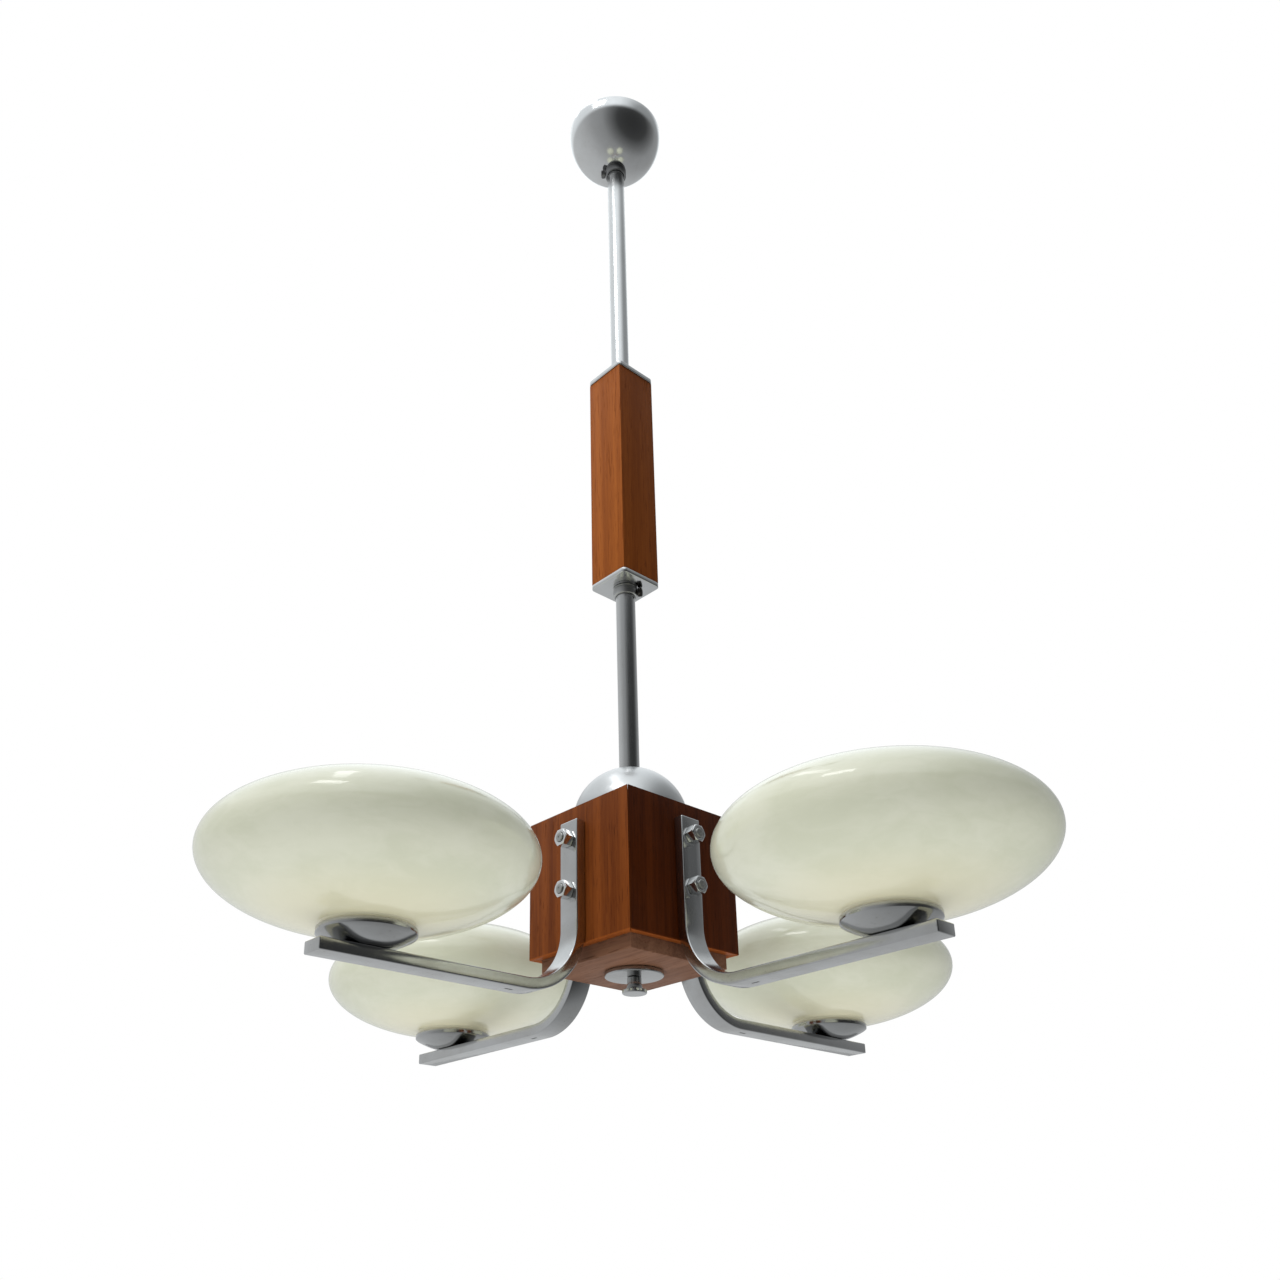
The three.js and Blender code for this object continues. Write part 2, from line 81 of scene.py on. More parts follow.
camera_data = bpy.data.cameras.new("viewer")
camera_data.lens = 34.5
camera_data.shift_x = 0.0213
camera_data.shift_y = 0.125
camera = bpy.data.objects.new("viewer", camera_data)
bpy.context.scene.collection.objects.link(camera)
camera_place = Vector(
    (math.sin(camera_bearing) * camera_distance, -math.cos(camera_bearing) * camera_distance, camera_height)
)
camera.matrix_world = (
    Matrix.Translation(camera_place)
    @ Matrix.Rotation(camera_bearing + camera_turn, 4, "Z")
    @ Matrix.Rotation(math.radians(90) + camera_pitch, 4, "X")
    @ Matrix.Rotation(camera_roll, 4, "Z")
)
bpy.context.scene.camera = camera
print("camera at", [round(v, 3) for v in camera_place])

# %% [markdown]
# ## Working in edit mode from code
# An operator acts on whatever is selected, so each step starts by clearing the selection, and faces or
# edges are then picked by their place or direction. These few helpers keep the later cells short.

# %% Selection helpers
def deselect():
    """Leaves edit mode and selects nothing."""
    if bpy.context.object and bpy.context.object.mode != "OBJECT":
        bpy.ops.object.mode_set(mode="OBJECT")
    bpy.ops.object.select_all(action="DESELECT")


def take(piece):
    """Selects one piece only and makes it the active one."""
    deselect()
    piece.select_set(True)
    bpy.context.view_layer.objects.active = piece


def edit(piece, kind="FACE"):
    """Opens one piece in edit mode with nothing selected."""
    take(piece)
    bpy.ops.object.mode_set(mode="EDIT")
    bpy.ops.mesh.select_mode(type=kind)
    bpy.ops.mesh.select_all(action="DESELECT")


def pick_faces(piece, wanted):
    """Adds the faces whose middle and normal pass the test to the selection."""
    mesh = bmesh.from_edit_mesh(piece.data)
    for face in mesh.faces:
        if wanted(face.calc_center_median(), face.normal):
            face.select_set(True)
    bmesh.update_edit_mesh(piece.data)


def pick_edges(piece, wanted):
    """Adds the edges whose two ends pass the test to the selection."""
    mesh = bmesh.from_edit_mesh(piece.data)
    for edge in mesh.edges:
        if wanted(edge.verts[0].co, edge.verts[1].co):
            edge.select_set(True)
    bmesh.update_edit_mesh(piece.data)


def apply_place(piece):
    """Moves a piece's place, turn and size into its mesh."""
    take(piece)
    bpy.ops.object.transform_apply(location=True, rotation=True, scale=True)


print("helpers for selecting are ready")

# %% [markdown]
# ## Round pieces, ring by ring
# Most of the metal and all of the glass is turned or spun, so one helper does what a turner does: it starts
# with a ring of vertices and raises the next ring from it, again and again, along a profile of radius and
# height. Spinning a drawn profile would give the same shape, but rings need no axis or angle to be right.
# A radius near nothing closes to a point, and a profile that ends where it began closes to a tube's wall.

# %% The turning helper
round_sides = 96
closing_radius = 0.0005 * mm
merge_distance = 0.002 * mm


def turned(profile, sides=round_sides):
    """A round piece on the Z axis, raised ring by ring through its (radius, height) points."""
    rings = [(max(radius, closing_radius), height) for radius, height in profile]
    radius, height = rings[0]
    deselect()
    bpy.ops.mesh.primitive_circle_add(vertices=sides, radius=radius, location=(0, 0, height))
    piece = bpy.context.object
    edit(piece, "VERT")
    bpy.ops.mesh.select_all(action="SELECT")
    for next_radius, next_height in rings[1:]:
        bpy.ops.mesh.extrude_region_move(TRANSFORM_OT_translate={"value": (0, 0, next_height - height)})
        grow = next_radius / radius
        bpy.ops.transform.resize(value=(grow, grow, 1), center_override=(0, 0, next_height))
        radius, height = next_radius, next_height
    bpy.ops.mesh.select_all(action="SELECT")
    bpy.ops.mesh.remove_doubles(threshold=merge_distance)
    bpy.ops.mesh.normals_make_consistent(inside=False)
    apply_place(piece)
    return piece


def arc(radius, height, middle, start, end, steps):
    """(radius, height) points along an ellipse round the point (0, middle), between angles in degrees."""
    angles = [math.radians(start + (end - start) * i / steps) for i in range(steps + 1)]
    return [(radius * math.cos(a), middle + height * math.sin(a)) for a in angles]


def rounding(centre_radius, centre_height, size, start, end, steps=4):
    """(radius, height) points that round off a corner."""
    angles = [math.radians(start + (end - start) * i / steps) for i in range(steps + 1)]
    return [(centre_radius + size * math.cos(a), centre_height + size * math.sin(a)) for a in angles]


print("the turning helper makes rings of", round_sides, "sides")

# %% [markdown]
# ## Modifiers, holes and the last step for every piece
# Holes are cut with a Boolean, edges are softened with a Bevel, and both are applied at once, so that a
# piece is a plain mesh when it is done. The last step is always the same: name the piece, shade it smooth
# except at real edges, give it its finish, and let it ride on the CAD body whose node it stands for.

# %% Finishing helpers
def modify(piece, kind, **settings):
    """Adds one modifier with these settings and applies it."""
    take(piece)
    modifier = piece.modifiers.new(kind.lower(), kind)
    for name, value in settings.items():
        setattr(modifier, name, value)
    bpy.ops.object.modifier_apply(modifier=modifier.name)


def carve(piece, *tools):
    """Cuts the tools' shapes out of a piece, and removes the tools."""
    for tool in tools:
        modify(piece, "BOOLEAN", operation="DIFFERENCE", solver="EXACT", object=tool)
        bpy.data.objects.remove(tool)


def drill(radius, start, end, sides=round_sides):
    """A cutting rod between two points."""
    start, end = Vector(start), Vector(end)
    way = end - start
    deselect()
    bpy.ops.mesh.primitive_cylinder_add(
        vertices=sides,
        radius=radius,
        depth=way.length,
        location=(start + end) / 2,
        rotation=way.to_track_quat("Z", "Y").to_euler(),
    )
    tool = bpy.context.object
    apply_place(tool)
    return tool


def soften(piece, size, segments=3, angle=40):
    """Rounds every edge sharper than the angle."""
    modify(
        piece,
        "BEVEL",
        width=size,
        segments=segments,
        limit_method="ANGLE",
        angle_limit=math.radians(angle),
        harden_normals=False,
    )


def settle(piece, name, body, nodes, finish, smooth=32):
    """Names, shades and paints a piece, and lets it ride in place of its CAD nodes."""
    apply_place(piece)
    bpy.ops.object.shade_smooth_by_angle(angle=math.radians(smooth))
    piece.name = name
    piece.data.name = name
    piece.data.materials.clear()
    piece.data.materials.append(finish)
    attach(piece, body)
    if nodes:
        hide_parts(*nodes)
    return piece


def twin_round(piece, quarter):
    """A copy with its own mesh, turned by quarters of a circle about the stem."""
    take(piece)
    bpy.ops.object.duplicate()
    twin = bpy.context.object
    twin.rotation_euler = (0, 0, math.radians(90 * quarter))
    apply_place(twin)
    return twin


def settle_round(first, node, suffix, body, finish, smooth=32):
    """Settles a piece and three copies at the other arms. Without a body, each rides on its own node's."""
    copies = [first] + [twin_round(first, quarter) for quarter in (1, 2, 3)]
    for number, piece in zip(arm_numbers, copies):
        name = f"{node}_{number}"
        settle(piece, f"{name}_{suffix}", body or name, [name], finish, smooth)
    report(*copies)


def report(*pieces):
    """Prints how many faces each piece has."""
    print(", ".join(f"{piece.name}: {len(piece.data.polygons)} faces" for piece in pieces))


print("helpers for holes, edges and finishing are ready")

# %% [markdown]
# ## Writing finishes as sums
# A procedural finish is arithmetic on patterns: a base value plus a little noise, less where there is dust.
# Wiring Math nodes one by one hides that, so a small class wraps a node's output and turns +, -, * and /
# into Math nodes. Everything else comes from one method that makes a node, sets it up and joins its inputs.

# %% The wrapped socket
class Value:
    """One node output that can be used in ordinary sums."""

    def __init__(self, finish, socket):
        self.finish = finish
        self.socket = socket

    def sum_with(self, operation, first, second):
        return self.finish.node("Math", {"operation": operation}, {0: first, 1: second})

    def __add__(self, other):
        return self.sum_with("ADD", self, other)

    def __radd__(self, other):
        return self.sum_with("ADD", other, self)

    def __sub__(self, other):
        return self.sum_with("SUBTRACT", self, other)

    def __rsub__(self, other):
        return self.sum_with("SUBTRACT", other, self)

    def __mul__(self, other):
        return self.sum_with("MULTIPLY", self, other)

    def __rmul__(self, other):
        return self.sum_with("MULTIPLY", other, self)

    def __truediv__(self, other):
        return self.sum_with("DIVIDE", self, other)

    def __pow__(self, other):
        return self.sum_with("POWER", self, other)


# %% [markdown]
# ## One method for every other node
# A finish owns one material. Its node method takes the node's kind, its settings and its values, and gives
# back a wrapped output. The sockets that a setting hides are left out, so numbers count the ones in view.

# %% The finish
class Finish:
    """A material whose nodes are made by calls, in the order in which the maker thinks of them."""

    def __init__(self, name):
        self.material = bpy.data.materials.new(name)
        self.material.use_nodes = True
        self.tree = self.material.node_tree
        self.shader = self.tree.nodes["Principled BSDF"]

    def join(self, socket, value):
        if isinstance(value, Value):
            self.tree.links.new(value.socket, socket)
        else:
            socket.default_value = value

    def node(self, kind, settings=None, values=None, output=None):
        """Makes a shader node: its settings come first, then its sockets' values or links."""
        made = self.tree.nodes.new("ShaderNode" + kind)
        for name, value in (settings or {}).items():
            if name == "stops":
                ramp = made.color_ramp.elements
                while len(ramp) < len(value):
                    ramp.new(0.5)
                for element, (place, colour) in zip(ramp, value):
                    element.position = place
                    element.color = (*colour, 1) if len(colour) == 3 else colour
            else:
                setattr(made, name, value)
        live = [socket for socket in made.inputs if socket.enabled]
        for key, value in (values or {}).items():
            socket = live[key] if isinstance(key, int) else next(s for s in live if s.name == key)
            self.join(socket, value)
        outputs = [socket for socket in made.outputs if socket.enabled]
        return Value(self, next((s for s in outputs if s.name == output), outputs[0]))

    def surface(self, **values):
        """Sets the shader's own sockets; Base_Color stands for the socket Base Color."""
        for name, value in values.items():
            self.join(self.shader.inputs[name.replace("_", " ")], value)
        return self.material


print("finishes are written with", Finish.__name__, "and", Value.__name__)

# %% [markdown]
# ## Patterns that several finishes share
# All patterns read the object's own coordinates, which here are places in the lamp, so a pattern stays
# with its piece when the piece moves. Stretching the coordinates along one axis turns noise into grain.

# %% Shared patterns
def place_on(finish, stretch=(1, 1, 1), centre=(0, 0, 0)):
    """Object coordinates, counted from a centre and stretched by a factor along each axis."""
    place = finish.node("TexCoord", output="Object")
    from_centre = finish.node("VectorMath", {"operation": "SUBTRACT"}, {0: place, 1: centre})
    return finish.node("VectorMath", {"operation": "MULTIPLY"}, {0: from_centre, 1: stretch})


def noise(finish, place, scale, detail=4.0, roughness=0.55, distortion=0.0):
    """Soft noise from 0 to 1, where scale counts lumps to a metre."""
    values = {"Vector": place, "Scale": scale, "Detail": detail}
    values.update({"Roughness": roughness, "Distortion": distortion})
    return finish.node("TexNoise", {}, values, output="Fac")


def between(finish, value, low, high, start=0.0, end=1.0):
    """Maps low..high to start..end smoothly and keeps it there."""
    values = {"Value": value, "From Min": low, "From Max": high, "To Min": start, "To Max": end}
    return finish.node("MapRange", {"interpolation_type": "SMOOTHSTEP"}, values)


def blend_colours(finish, share, first, second, way="MIX"):
    """Mixes two colours by a share from 0 to 1."""
    first = first if isinstance(first, Value) else (*first, 1)
    second = second if isinstance(second, Value) else (*second, 1)
    settings = {"data_type": "RGBA", "blend_type": way}
    return finish.node("Mix", settings, {"Factor": share, "A": first, "B": second})


def bumps(finish, height, distance, strength=1.0):
    """A normal that follows a height pattern."""
    return finish.node("Bump", {}, {"Height": height, "Distance": distance, "Strength": strength})


print("patterns: place_on, noise, between, blend_colours, bumps")

# %% [markdown]
# ## Chrome plate
# New chrome is a mirror. On a lamp of this age it is a little uneven: wiping has left a faint haze, the
# plate has fine pits, and the flat bar of the arms was never polished as finely as the spun cups. So one
# recipe takes how bright, how hazy and how blotchy the plate is, and the pieces share six versions of it.

# %% Chrome recipe
def chrome(name, bright, haze, blotches, pitting, relief):
    """Aged chrome plate. haze is the mirror's roughness, relief its waviness, the others go from 0 to 1."""
    finish = Finish(name)
    place = place_on(finish)
    clouds = noise(finish, place, 38, 5, 0.6)
    specks = noise(finish, place, 420, 3, 0.6)
    lines = noise(finish, place_on(finish, (1, 1, 0.05)), 900, 3, 0.6)
    cells = finish.node("TexVoronoi", {}, {"Vector": place, "Scale": 260.0}, output="Distance")
    pits = between(finish, cells, 0.10, 0.20, 1.0, 0.0) * between(finish, clouds, 0.50, 0.62)
    dull = between(finish, clouds, 0.35, 0.70)
    plate = tuple(bright * c for c in (0.985, 0.995, 1.0))
    worn = tuple(bright * c for c in (0.80, 0.79, 0.76))
    colour = blend_colours(finish, dull * blotches, plate, worn)
    colour = blend_colours(finish, pits * pitting, colour, (0.10, 0.09, 0.08))
    rough = haze + dull * (0.16 * blotches) + specks * (0.05 * blotches)
    rough = rough + lines * 0.03 + pits * (0.2 * pitting)
    normal = bumps(finish, clouds * 0.85 + specks * 0.15, relief, 0.5)
    return finish.surface(Base_Color=colour, Metallic=1.0, Roughness=rough, Normal=normal)


cup_chrome = chrome("cup_chrome", bright=0.68, haze=0.10, blotches=0.30, pitting=0.15, relief=0.008 * mm)
satin_chrome = chrome("satin_chrome", bright=0.60, haze=0.27, blotches=0.25, pitting=0.10, relief=0.02 * mm)
bar_chrome = chrome("bar_chrome", bright=0.58, haze=0.10, blotches=0.45, pitting=0.22, relief=0.03 * mm)
# The nuts' chrome is made brighter than the rest: painted light, so that they look lit.
nut_chrome_painted_light = chrome("nut_chrome_painted_light", bright=0.80, haze=0.14, blotches=0.30, pitting=0.15, relief=0.02 * mm)
# The chrome of the dishes and the washer is made darker: painted shade for the dark things the dishes mirror.
dish_chrome_painted_shade = chrome("dish_chrome_painted_shade", bright=0.50, haze=0.13, blotches=0.35, pitting=0.25, relief=0.01 * mm)
rod_chrome = chrome("rod_chrome", bright=0.64, haze=0.15, blotches=0.20, pitting=0.15, relief=0.01 * mm)
print("chrome in six grades")

# %% [markdown]
# ## Plain steel and blackened steel
# The bolts, the stem nut and the tie rod are bright zinc-plated steel, greyer and rougher than chrome. The
# block's small screw is blackened, with the metal showing through where it is rubbed, and the canopy's
# collar and screw are chrome made dark grey.

# %% Steel recipes
def zinc_steel(name):
    """Dull plated steel with a fine crystalline mottle."""
    finish = Finish(name)
    place = place_on(finish)
    mottle = noise(finish, place, 160, 4, 0.6)
    grain = noise(finish, place, 1100, 2, 0.5)
    colour = blend_colours(finish, mottle, (0.36, 0.36, 0.35), (0.52, 0.52, 0.50))
    rough = 0.28 + mottle * 0.16
    relief = bumps(finish, grain, 0.03 * mm, 0.4)
    return finish.surface(Base_Color=colour, Metallic=1.0, Roughness=rough, Normal=relief)


def blackened_steel(name):
    """Oil-blackened steel, rubbed brown-grey in places."""
    finish = Finish(name)
    place = place_on(finish)
    rubbed = between(finish, noise(finish, place, 210, 5, 0.65), 0.52, 0.68)
    colour = blend_colours(finish, rubbed, (0.035, 0.033, 0.032), (0.19, 0.175, 0.16))
    rough = 0.42 - rubbed * 0.14
    grain = noise(finish, place, 1300, 2, 0.5)
    relief = bumps(finish, grain, 0.03 * mm, 0.5)
    return finish.surface(Base_Color=colour, Metallic=0.85, Roughness=rough, Normal=relief)


bolt_steel = zinc_steel("bolt_steel")
black_steel = blackened_steel("black_steel")
grey_steel = chrome("grey_steel", bright=0.27, haze=0.30, blotches=0.40, pitting=0.30, relief=0.02 * mm)
print("steel in three grades")

# %% [markdown]
# ## Veneer and stained board
# The block and the box are faced with a reddish-brown, straight-grained wood, and the grain runs upright.
# Three layers make it: broad bands a few millimetres wide, finer streaks inside them, and the short dark
# pores that tell wood from paint. Each is noise on coordinates squeezed along the grain. The lower edges of
# the
# panels are painted paler: partly a painted highlight where the edge catches the light, partly stain worn
# away.

# %% Wood recipe
def wood(name, pale, dark, pore, along, gloss, edge_highlight_and_wear_zones=(), x_face_painted_shade=0.0):
    """Waxed wood whose grain runs along one axis. Faces turned towards +X are darkened as painted shade."""
    finish = Finish(name)
    squeeze = tuple(0.045 if axis == along else 1.0 for axis in "XYZ")
    longer = tuple(0.012 if axis == along else 1.0 for axis in "XYZ")
    bands = noise(finish, place_on(finish, longer), 95, 3, 0.5, 0.6)
    streaks = noise(finish, place_on(finish, squeeze), 420, 5, 0.62, 0.3)
    fine = noise(finish, place_on(finish, squeeze), 1500, 3, 0.6)
    pores = between(finish, noise(finish, place_on(finish, squeeze), 1050, 2, 0.5), 0.60, 0.68)
    tone = between(finish, bands * 0.55 + streaks * 0.35 + fine * 0.10, 0.36, 0.64)
    colour = blend_colours(finish, tone, dark, pale)
    colour = blend_colours(finish, pores * 0.65, colour, pore)
    height = finish.node("SeparateXYZ", {}, {"Vector": place_on(finish)}, output="Z")
    # Painted highlight and worn stain together: paler bands at given heights, here the panels' lower edges.
    for low, high, strength in edge_highlight_and_wear_zones:
        edge_highlight_and_wear = between(finish, height, low, high, strength, 0.0)
        colour = blend_colours(finish, edge_highlight_and_wear, colour, tuple(min(1.0, 1.5 * c) for c in pale))
    # Painted shade: faces turned towards +X are multiplied darker, as if less light reached them.
    facing = finish.node("TexCoord", output="Normal")
    facing_x = finish.node("SeparateXYZ", {}, {"Vector": facing}, output="X")
    x_face_shade_share = between(finish, facing_x, 0.6, 0.8, 0.0, x_face_painted_shade)
    colour = blend_colours(finish, x_face_shade_share, colour, (0.34, 0.25, 0.16), "MULTIPLY")
    rough = gloss + pores * 0.22 + streaks * 0.10
    relief = bumps(finish, streaks * 0.5 - pores, 0.06 * mm, 0.55)
    return finish.surface(Base_Color=colour, Roughness=rough, Normal=relief, Specular_IOR_Level=0.06)


panel_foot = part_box("box_panel_1")[0].z
# The box's wood is the block's wood made darker all over: painted shade for the shadow of the glass shades.
veneer = wood(
    "veneer",
    pale=(0.195, 0.050, 0.009),
    dark=(0.108, 0.025, 0.005),
    pore=(0.050, 0.012, 0.004),
    along="Z",
    gloss=0.42,
    x_face_painted_shade=0.95,
    edge_highlight_and_wear_zones=[(panel_foot + 0.6 * mm, panel_foot + 1.6 * mm, 0.6)],
)
block_veneer = wood(
    "block_veneer",
    pale=(0.325, 0.093, 0.017),
    dark=(0.232, 0.061, 0.011),
    pore=(0.15, 0.038, 0.009),
    along="Z",
    gloss=0.42,
    x_face_painted_shade=0.55,
)
base_wood = wood(
    "base_wood",
    pale=(0.190, 0.092, 0.054),
    dark=(0.125, 0.056, 0.032),
    pore=(0.06, 0.024, 0.012),
    along="X",
    gloss=0.42,
)
print("wood in three tones, with the grain upright on the panels and level on the base")

# %% [markdown]
# ## Opal glass
# Opal glass is white all through and very smooth outside. It isn't clear, so a solid colour under a hard,
# glossy coat gives its look with little render time. A faint emission glow is painted light, standing in for
# the light that the glass lets through. It is creamy with a touch of green, slightly cloudy, and warmer
# towards the neck. A shallow, large ripple keeps the reflections from being as straight as in a machined
# ball.

# %% Opal glass recipe
shade_low, shade_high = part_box("shade_1")


def opal(name):
    """Glossy cream opal glass that warms towards the shade's neck, with a painted glow from emission."""
    finish = Finish(name)
    place = place_on(finish)
    height = finish.node("SeparateXYZ", {}, {"Vector": place}, output="Z")
    clouds = noise(finish, place_on(finish, (1, 1, 2.2)), 14, 4, 0.5, 0.4)
    wisps = noise(finish, place_on(finish, (1, 1, 3.0)), 46, 5, 0.6, 1.2)
    milk = between(finish, clouds * 0.7 + wisps * 0.3, 0.35, 0.65)
    colour = blend_colours(finish, milk, (0.515, 0.522, 0.400), (0.575, 0.575, 0.462))
    foot = between(finish, height, shade_low.z, shade_low.z + 26 * mm, 1.0, 0.0)
    colour = blend_colours(finish, foot * 0.75, colour, (0.60, 0.55, 0.37))
    ripple = noise(finish, place, 22, 2, 0.4)
    return finish.surface(
        Base_Color=colour,
        Roughness=0.20 + wisps * 0.06,
        Normal=bumps(finish, ripple, 0.5 * mm, 0.25),
        Coat_Weight=0.7,
        Coat_Roughness=0.03,
        Specular_IOR_Level=0.3,
        # Emission paints a faint glow: painted light standing in for the light that opal glass lets through.
        Emission_Color=colour,
        Emission_Strength=0.16,
    )


opal_glass = opal("opal_glass")
print("opal glass, warm below", round((shade_low.z + 26 * mm) / mm), "mm")

# %% [markdown]
# ## The hidden fittings' finishes
# The lampholders, bulbs and terminal block sit inside the glass and the box. They are seen only when a
# shade is lifted off, but each still gets its own finish: glazed ivory, satin white glass, brassy cap, and
# a matt moulding.

# %% Fittings' recipes
def smooth_finish(name, colour, other, rough, metal=0.0, coat=0.0):
    """A moulded, glazed or plated finish with a faint unevenness of tone and gloss."""
    finish = Finish(name)
    place = place_on(finish)
    tone = between(finish, noise(finish, place, 60, 5, 0.6), 0.35, 0.65)
    grain = noise(finish, place, 900, 3, 0.6)
    return finish.surface(
        Base_Color=blend_colours(finish, tone, colour, other),
        Metallic=metal,
        Roughness=rough + tone * 0.08,
        Normal=bumps(finish, grain, 0.02 * mm, 0.4),
        Coat_Weight=coat,
        Coat_Roughness=0.08,
    )


glazed_ivory = smooth_finish("glazed_ivory", (0.72, 0.68, 0.56), (0.80, 0.77, 0.68), 0.22, coat=0.6)
bulb_white = smooth_finish("bulb_white", (0.84, 0.83, 0.78), (0.90, 0.89, 0.85), 0.18, coat=0.4)
cap_brass = smooth_finish("cap_brass", (0.60, 0.42, 0.18), (0.74, 0.56, 0.28), 0.26, metal=1.0)
grey_moulding = smooth_finish("grey_moulding", (0.60, 0.57, 0.48), (0.68, 0.65, 0.56), 0.48)
print("finishes for the fittings are ready")

# %% [markdown]
# ## Stem
# The stem is one chromed tube that runs from the ceiling hook down into the box. A tube is the simplest
# turned piece: up the outside, over a small rounded lip, and down the bore.

# %% Stem
stem_low, stem_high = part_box("stem")
stem_radius = stem_high.x
stem_wall = 1.5 * mm
lip = 0.4 * mm


def tube(outer, inner, low, high, edge):
    """A closed profile for a ring or tube with rounded lips."""
    return [
        (inner, low),
        *rounding(outer - edge, low + edge, edge, -90, 0),
        *rounding(outer - edge, high - edge, edge, 0, 90),
        (inner, high),
        (inner, low),
    ]


stem = turned(tube(stem_radius, stem_radius - stem_wall, stem_low.z, stem_high.z, lip))
settle(stem, "stem_tube", "fixture", ["stem"], rod_chrome)
report(stem)

# %% [markdown]
# ## Hanging eye
# A ring on a threaded plug closes the stem's upper end and hangs on the ceiling hook. The ring is bent
# from round wire, so a torus is its real shape. The plug shows a shoulder above the tube and a thread that
# is hidden inside it.

# %% Hanging eye
eye_low, eye_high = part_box("hanging_eye")
eye_wire = 5 * mm
eye_middle = eye_high.z - 9 * mm - eye_wire / 2
shoulder_top = eye_middle - 9 * mm - eye_wire / 4
shoulder_low = shoulder_top - 3 * mm
plug_radius = stem_radius - stem_wall - 0.3 * mm

thread = []
thread_pitch = 1.5 * mm
turns = int((shoulder_low - eye_low.z) / thread_pitch) - 1
for turn in range(turns):
    z = eye_low.z + (turn + 0.5) * thread_pitch
    thread += [(plug_radius - 0.5 * mm, z), (plug_radius, z + thread_pitch / 2)]
plug = turned(
    [
        (0, eye_low.z),
        (plug_radius - 1 * mm, eye_low.z),
        *thread,
        (plug_radius - 0.5 * mm, shoulder_low),
        *rounding(stem_radius - 0.5 * mm, shoulder_low + 0.5 * mm, 0.5 * mm, -90, 0),
        *rounding(stem_radius - 0.5 * mm, shoulder_top - 0.5 * mm, 0.5 * mm, 0, 90),
        (0, shoulder_top),
    ]
)
deselect()
bpy.ops.mesh.primitive_torus_add(
    major_radius=9 * mm,
    minor_radius=eye_wire / 2,
    major_segments=64,
    minor_segments=24,
    location=(0, 0, eye_middle),
    rotation=(math.radians(90), 0, 0),
)
ring = bpy.context.object
apply_place(ring)
modify(plug, "BOOLEAN", operation="UNION", solver="EXACT", object=ring)
bpy.data.objects.remove(ring)
settle(plug, "hanging_eye_ring", "fixture", ["hanging_eye"], bolt_steel)
report(plug)

# %% [markdown]
# ## Canopy
# The canopy is a deep cup of thin metal, spun on a lathe and chromed. Its rim meets the ceiling and its
# lowest point has a hole for the stem. The profile runs up the outside from the hole, over a rolled rim,
# and down the inside, one sheet's thickness away.

# %% Canopy
sheet = 1.2 * mm
canopy_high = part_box("canopy")[1]
canopy_radius = canopy_high.x
canopy_wall = 5.5 * mm
bowl_depth = 47 * mm
stem_hole = stem_radius + 0.4 * mm


def spun_cup(radius, depth, middle, hole, thickness, rim, steps=36):
    """Profile of a bowl that opens upwards: the outside from its hole to the rim, then the inside back."""
    outer_start = -math.degrees(math.acos(hole / radius))
    inner_radius = radius - thickness
    inner_end = -math.degrees(math.acos(hole / inner_radius))
    outside = arc(radius, depth, middle, outer_start, 0, steps)
    inside = arc(inner_radius, depth - thickness, middle, 0, inner_end, steps)
    return [*outside, *rim, *inside, outside[0]]


rim_round = sheet / 2
canopy_rim = rounding(canopy_radius - rim_round, canopy_high.z - rim_round, rim_round, 0, 180, 8)
bowl_top = canopy_high.z - canopy_wall
canopy = turned(spun_cup(canopy_radius, bowl_depth, bowl_top, stem_hole, sheet, canopy_rim))
settle(canopy, "canopy_cup", "canopy", ["canopy"], cup_chrome)
report(canopy)

# %% [markdown]
# ## Collars and their small screws
# A collar under the canopy and another under the wooden block are clamped to the stem, each by one small
# knurled screw. The knurl is made by picking every other face round the head and pressing it in.

# %% Collars
screw_radius = 2 * mm


def collar(node):
    """A clamping ring with a groove turned round it above its screw."""
    low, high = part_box(node)
    edge = 0.7 * mm
    groove = high.z - 2.2 * mm
    return turned(
        [
            (stem_hole, low.z),
            *rounding(high.x - edge, low.z + edge, edge, -90, 0),
            (high.x, groove - 0.5 * mm),
            (high.x - 0.6 * mm, groove - 0.3 * mm),
            (high.x - 0.6 * mm, groove + 0.3 * mm),
            (high.x, groove + 0.5 * mm),
            *rounding(high.x - edge, high.z - edge, edge, 0, 90),
            (stem_hole, high.z),
            (stem_hole, low.z),
        ]
    )


def bearing_of(node):
    """The direction from the stem to a node, as a unit vector, and the node's height."""
    low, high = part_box(node)
    middle = (low + high) / 2
    return Vector((middle.x, middle.y, 0)).normalized(), middle.z


for name, screw_name, body, finish, slot in (
    ("canopy_collar", "canopy_screw", "canopy", grey_steel, "dark_steel"),
    ("block_collar", "block_screw", "block", satin_chrome, "chrome"),
):
    ring = collar(name)
    outwards, height = bearing_of(screw_name)
    along = Vector((0, 0, height))
    carve(ring, drill(screw_radius + 0.3 * mm, along + outwards * 4 * mm, along + outwards * 16 * mm, 48))
    settle(ring, name + "_ring", body, [name], finish)
    report(ring)

# %% [markdown]
# ## Knurled screws
# A thumbscrew is turned standing up, where its profile is easy to write, and laid along its direction last.
# The ribs are not drawn one by one: every other face round the head is inset and pushed in.

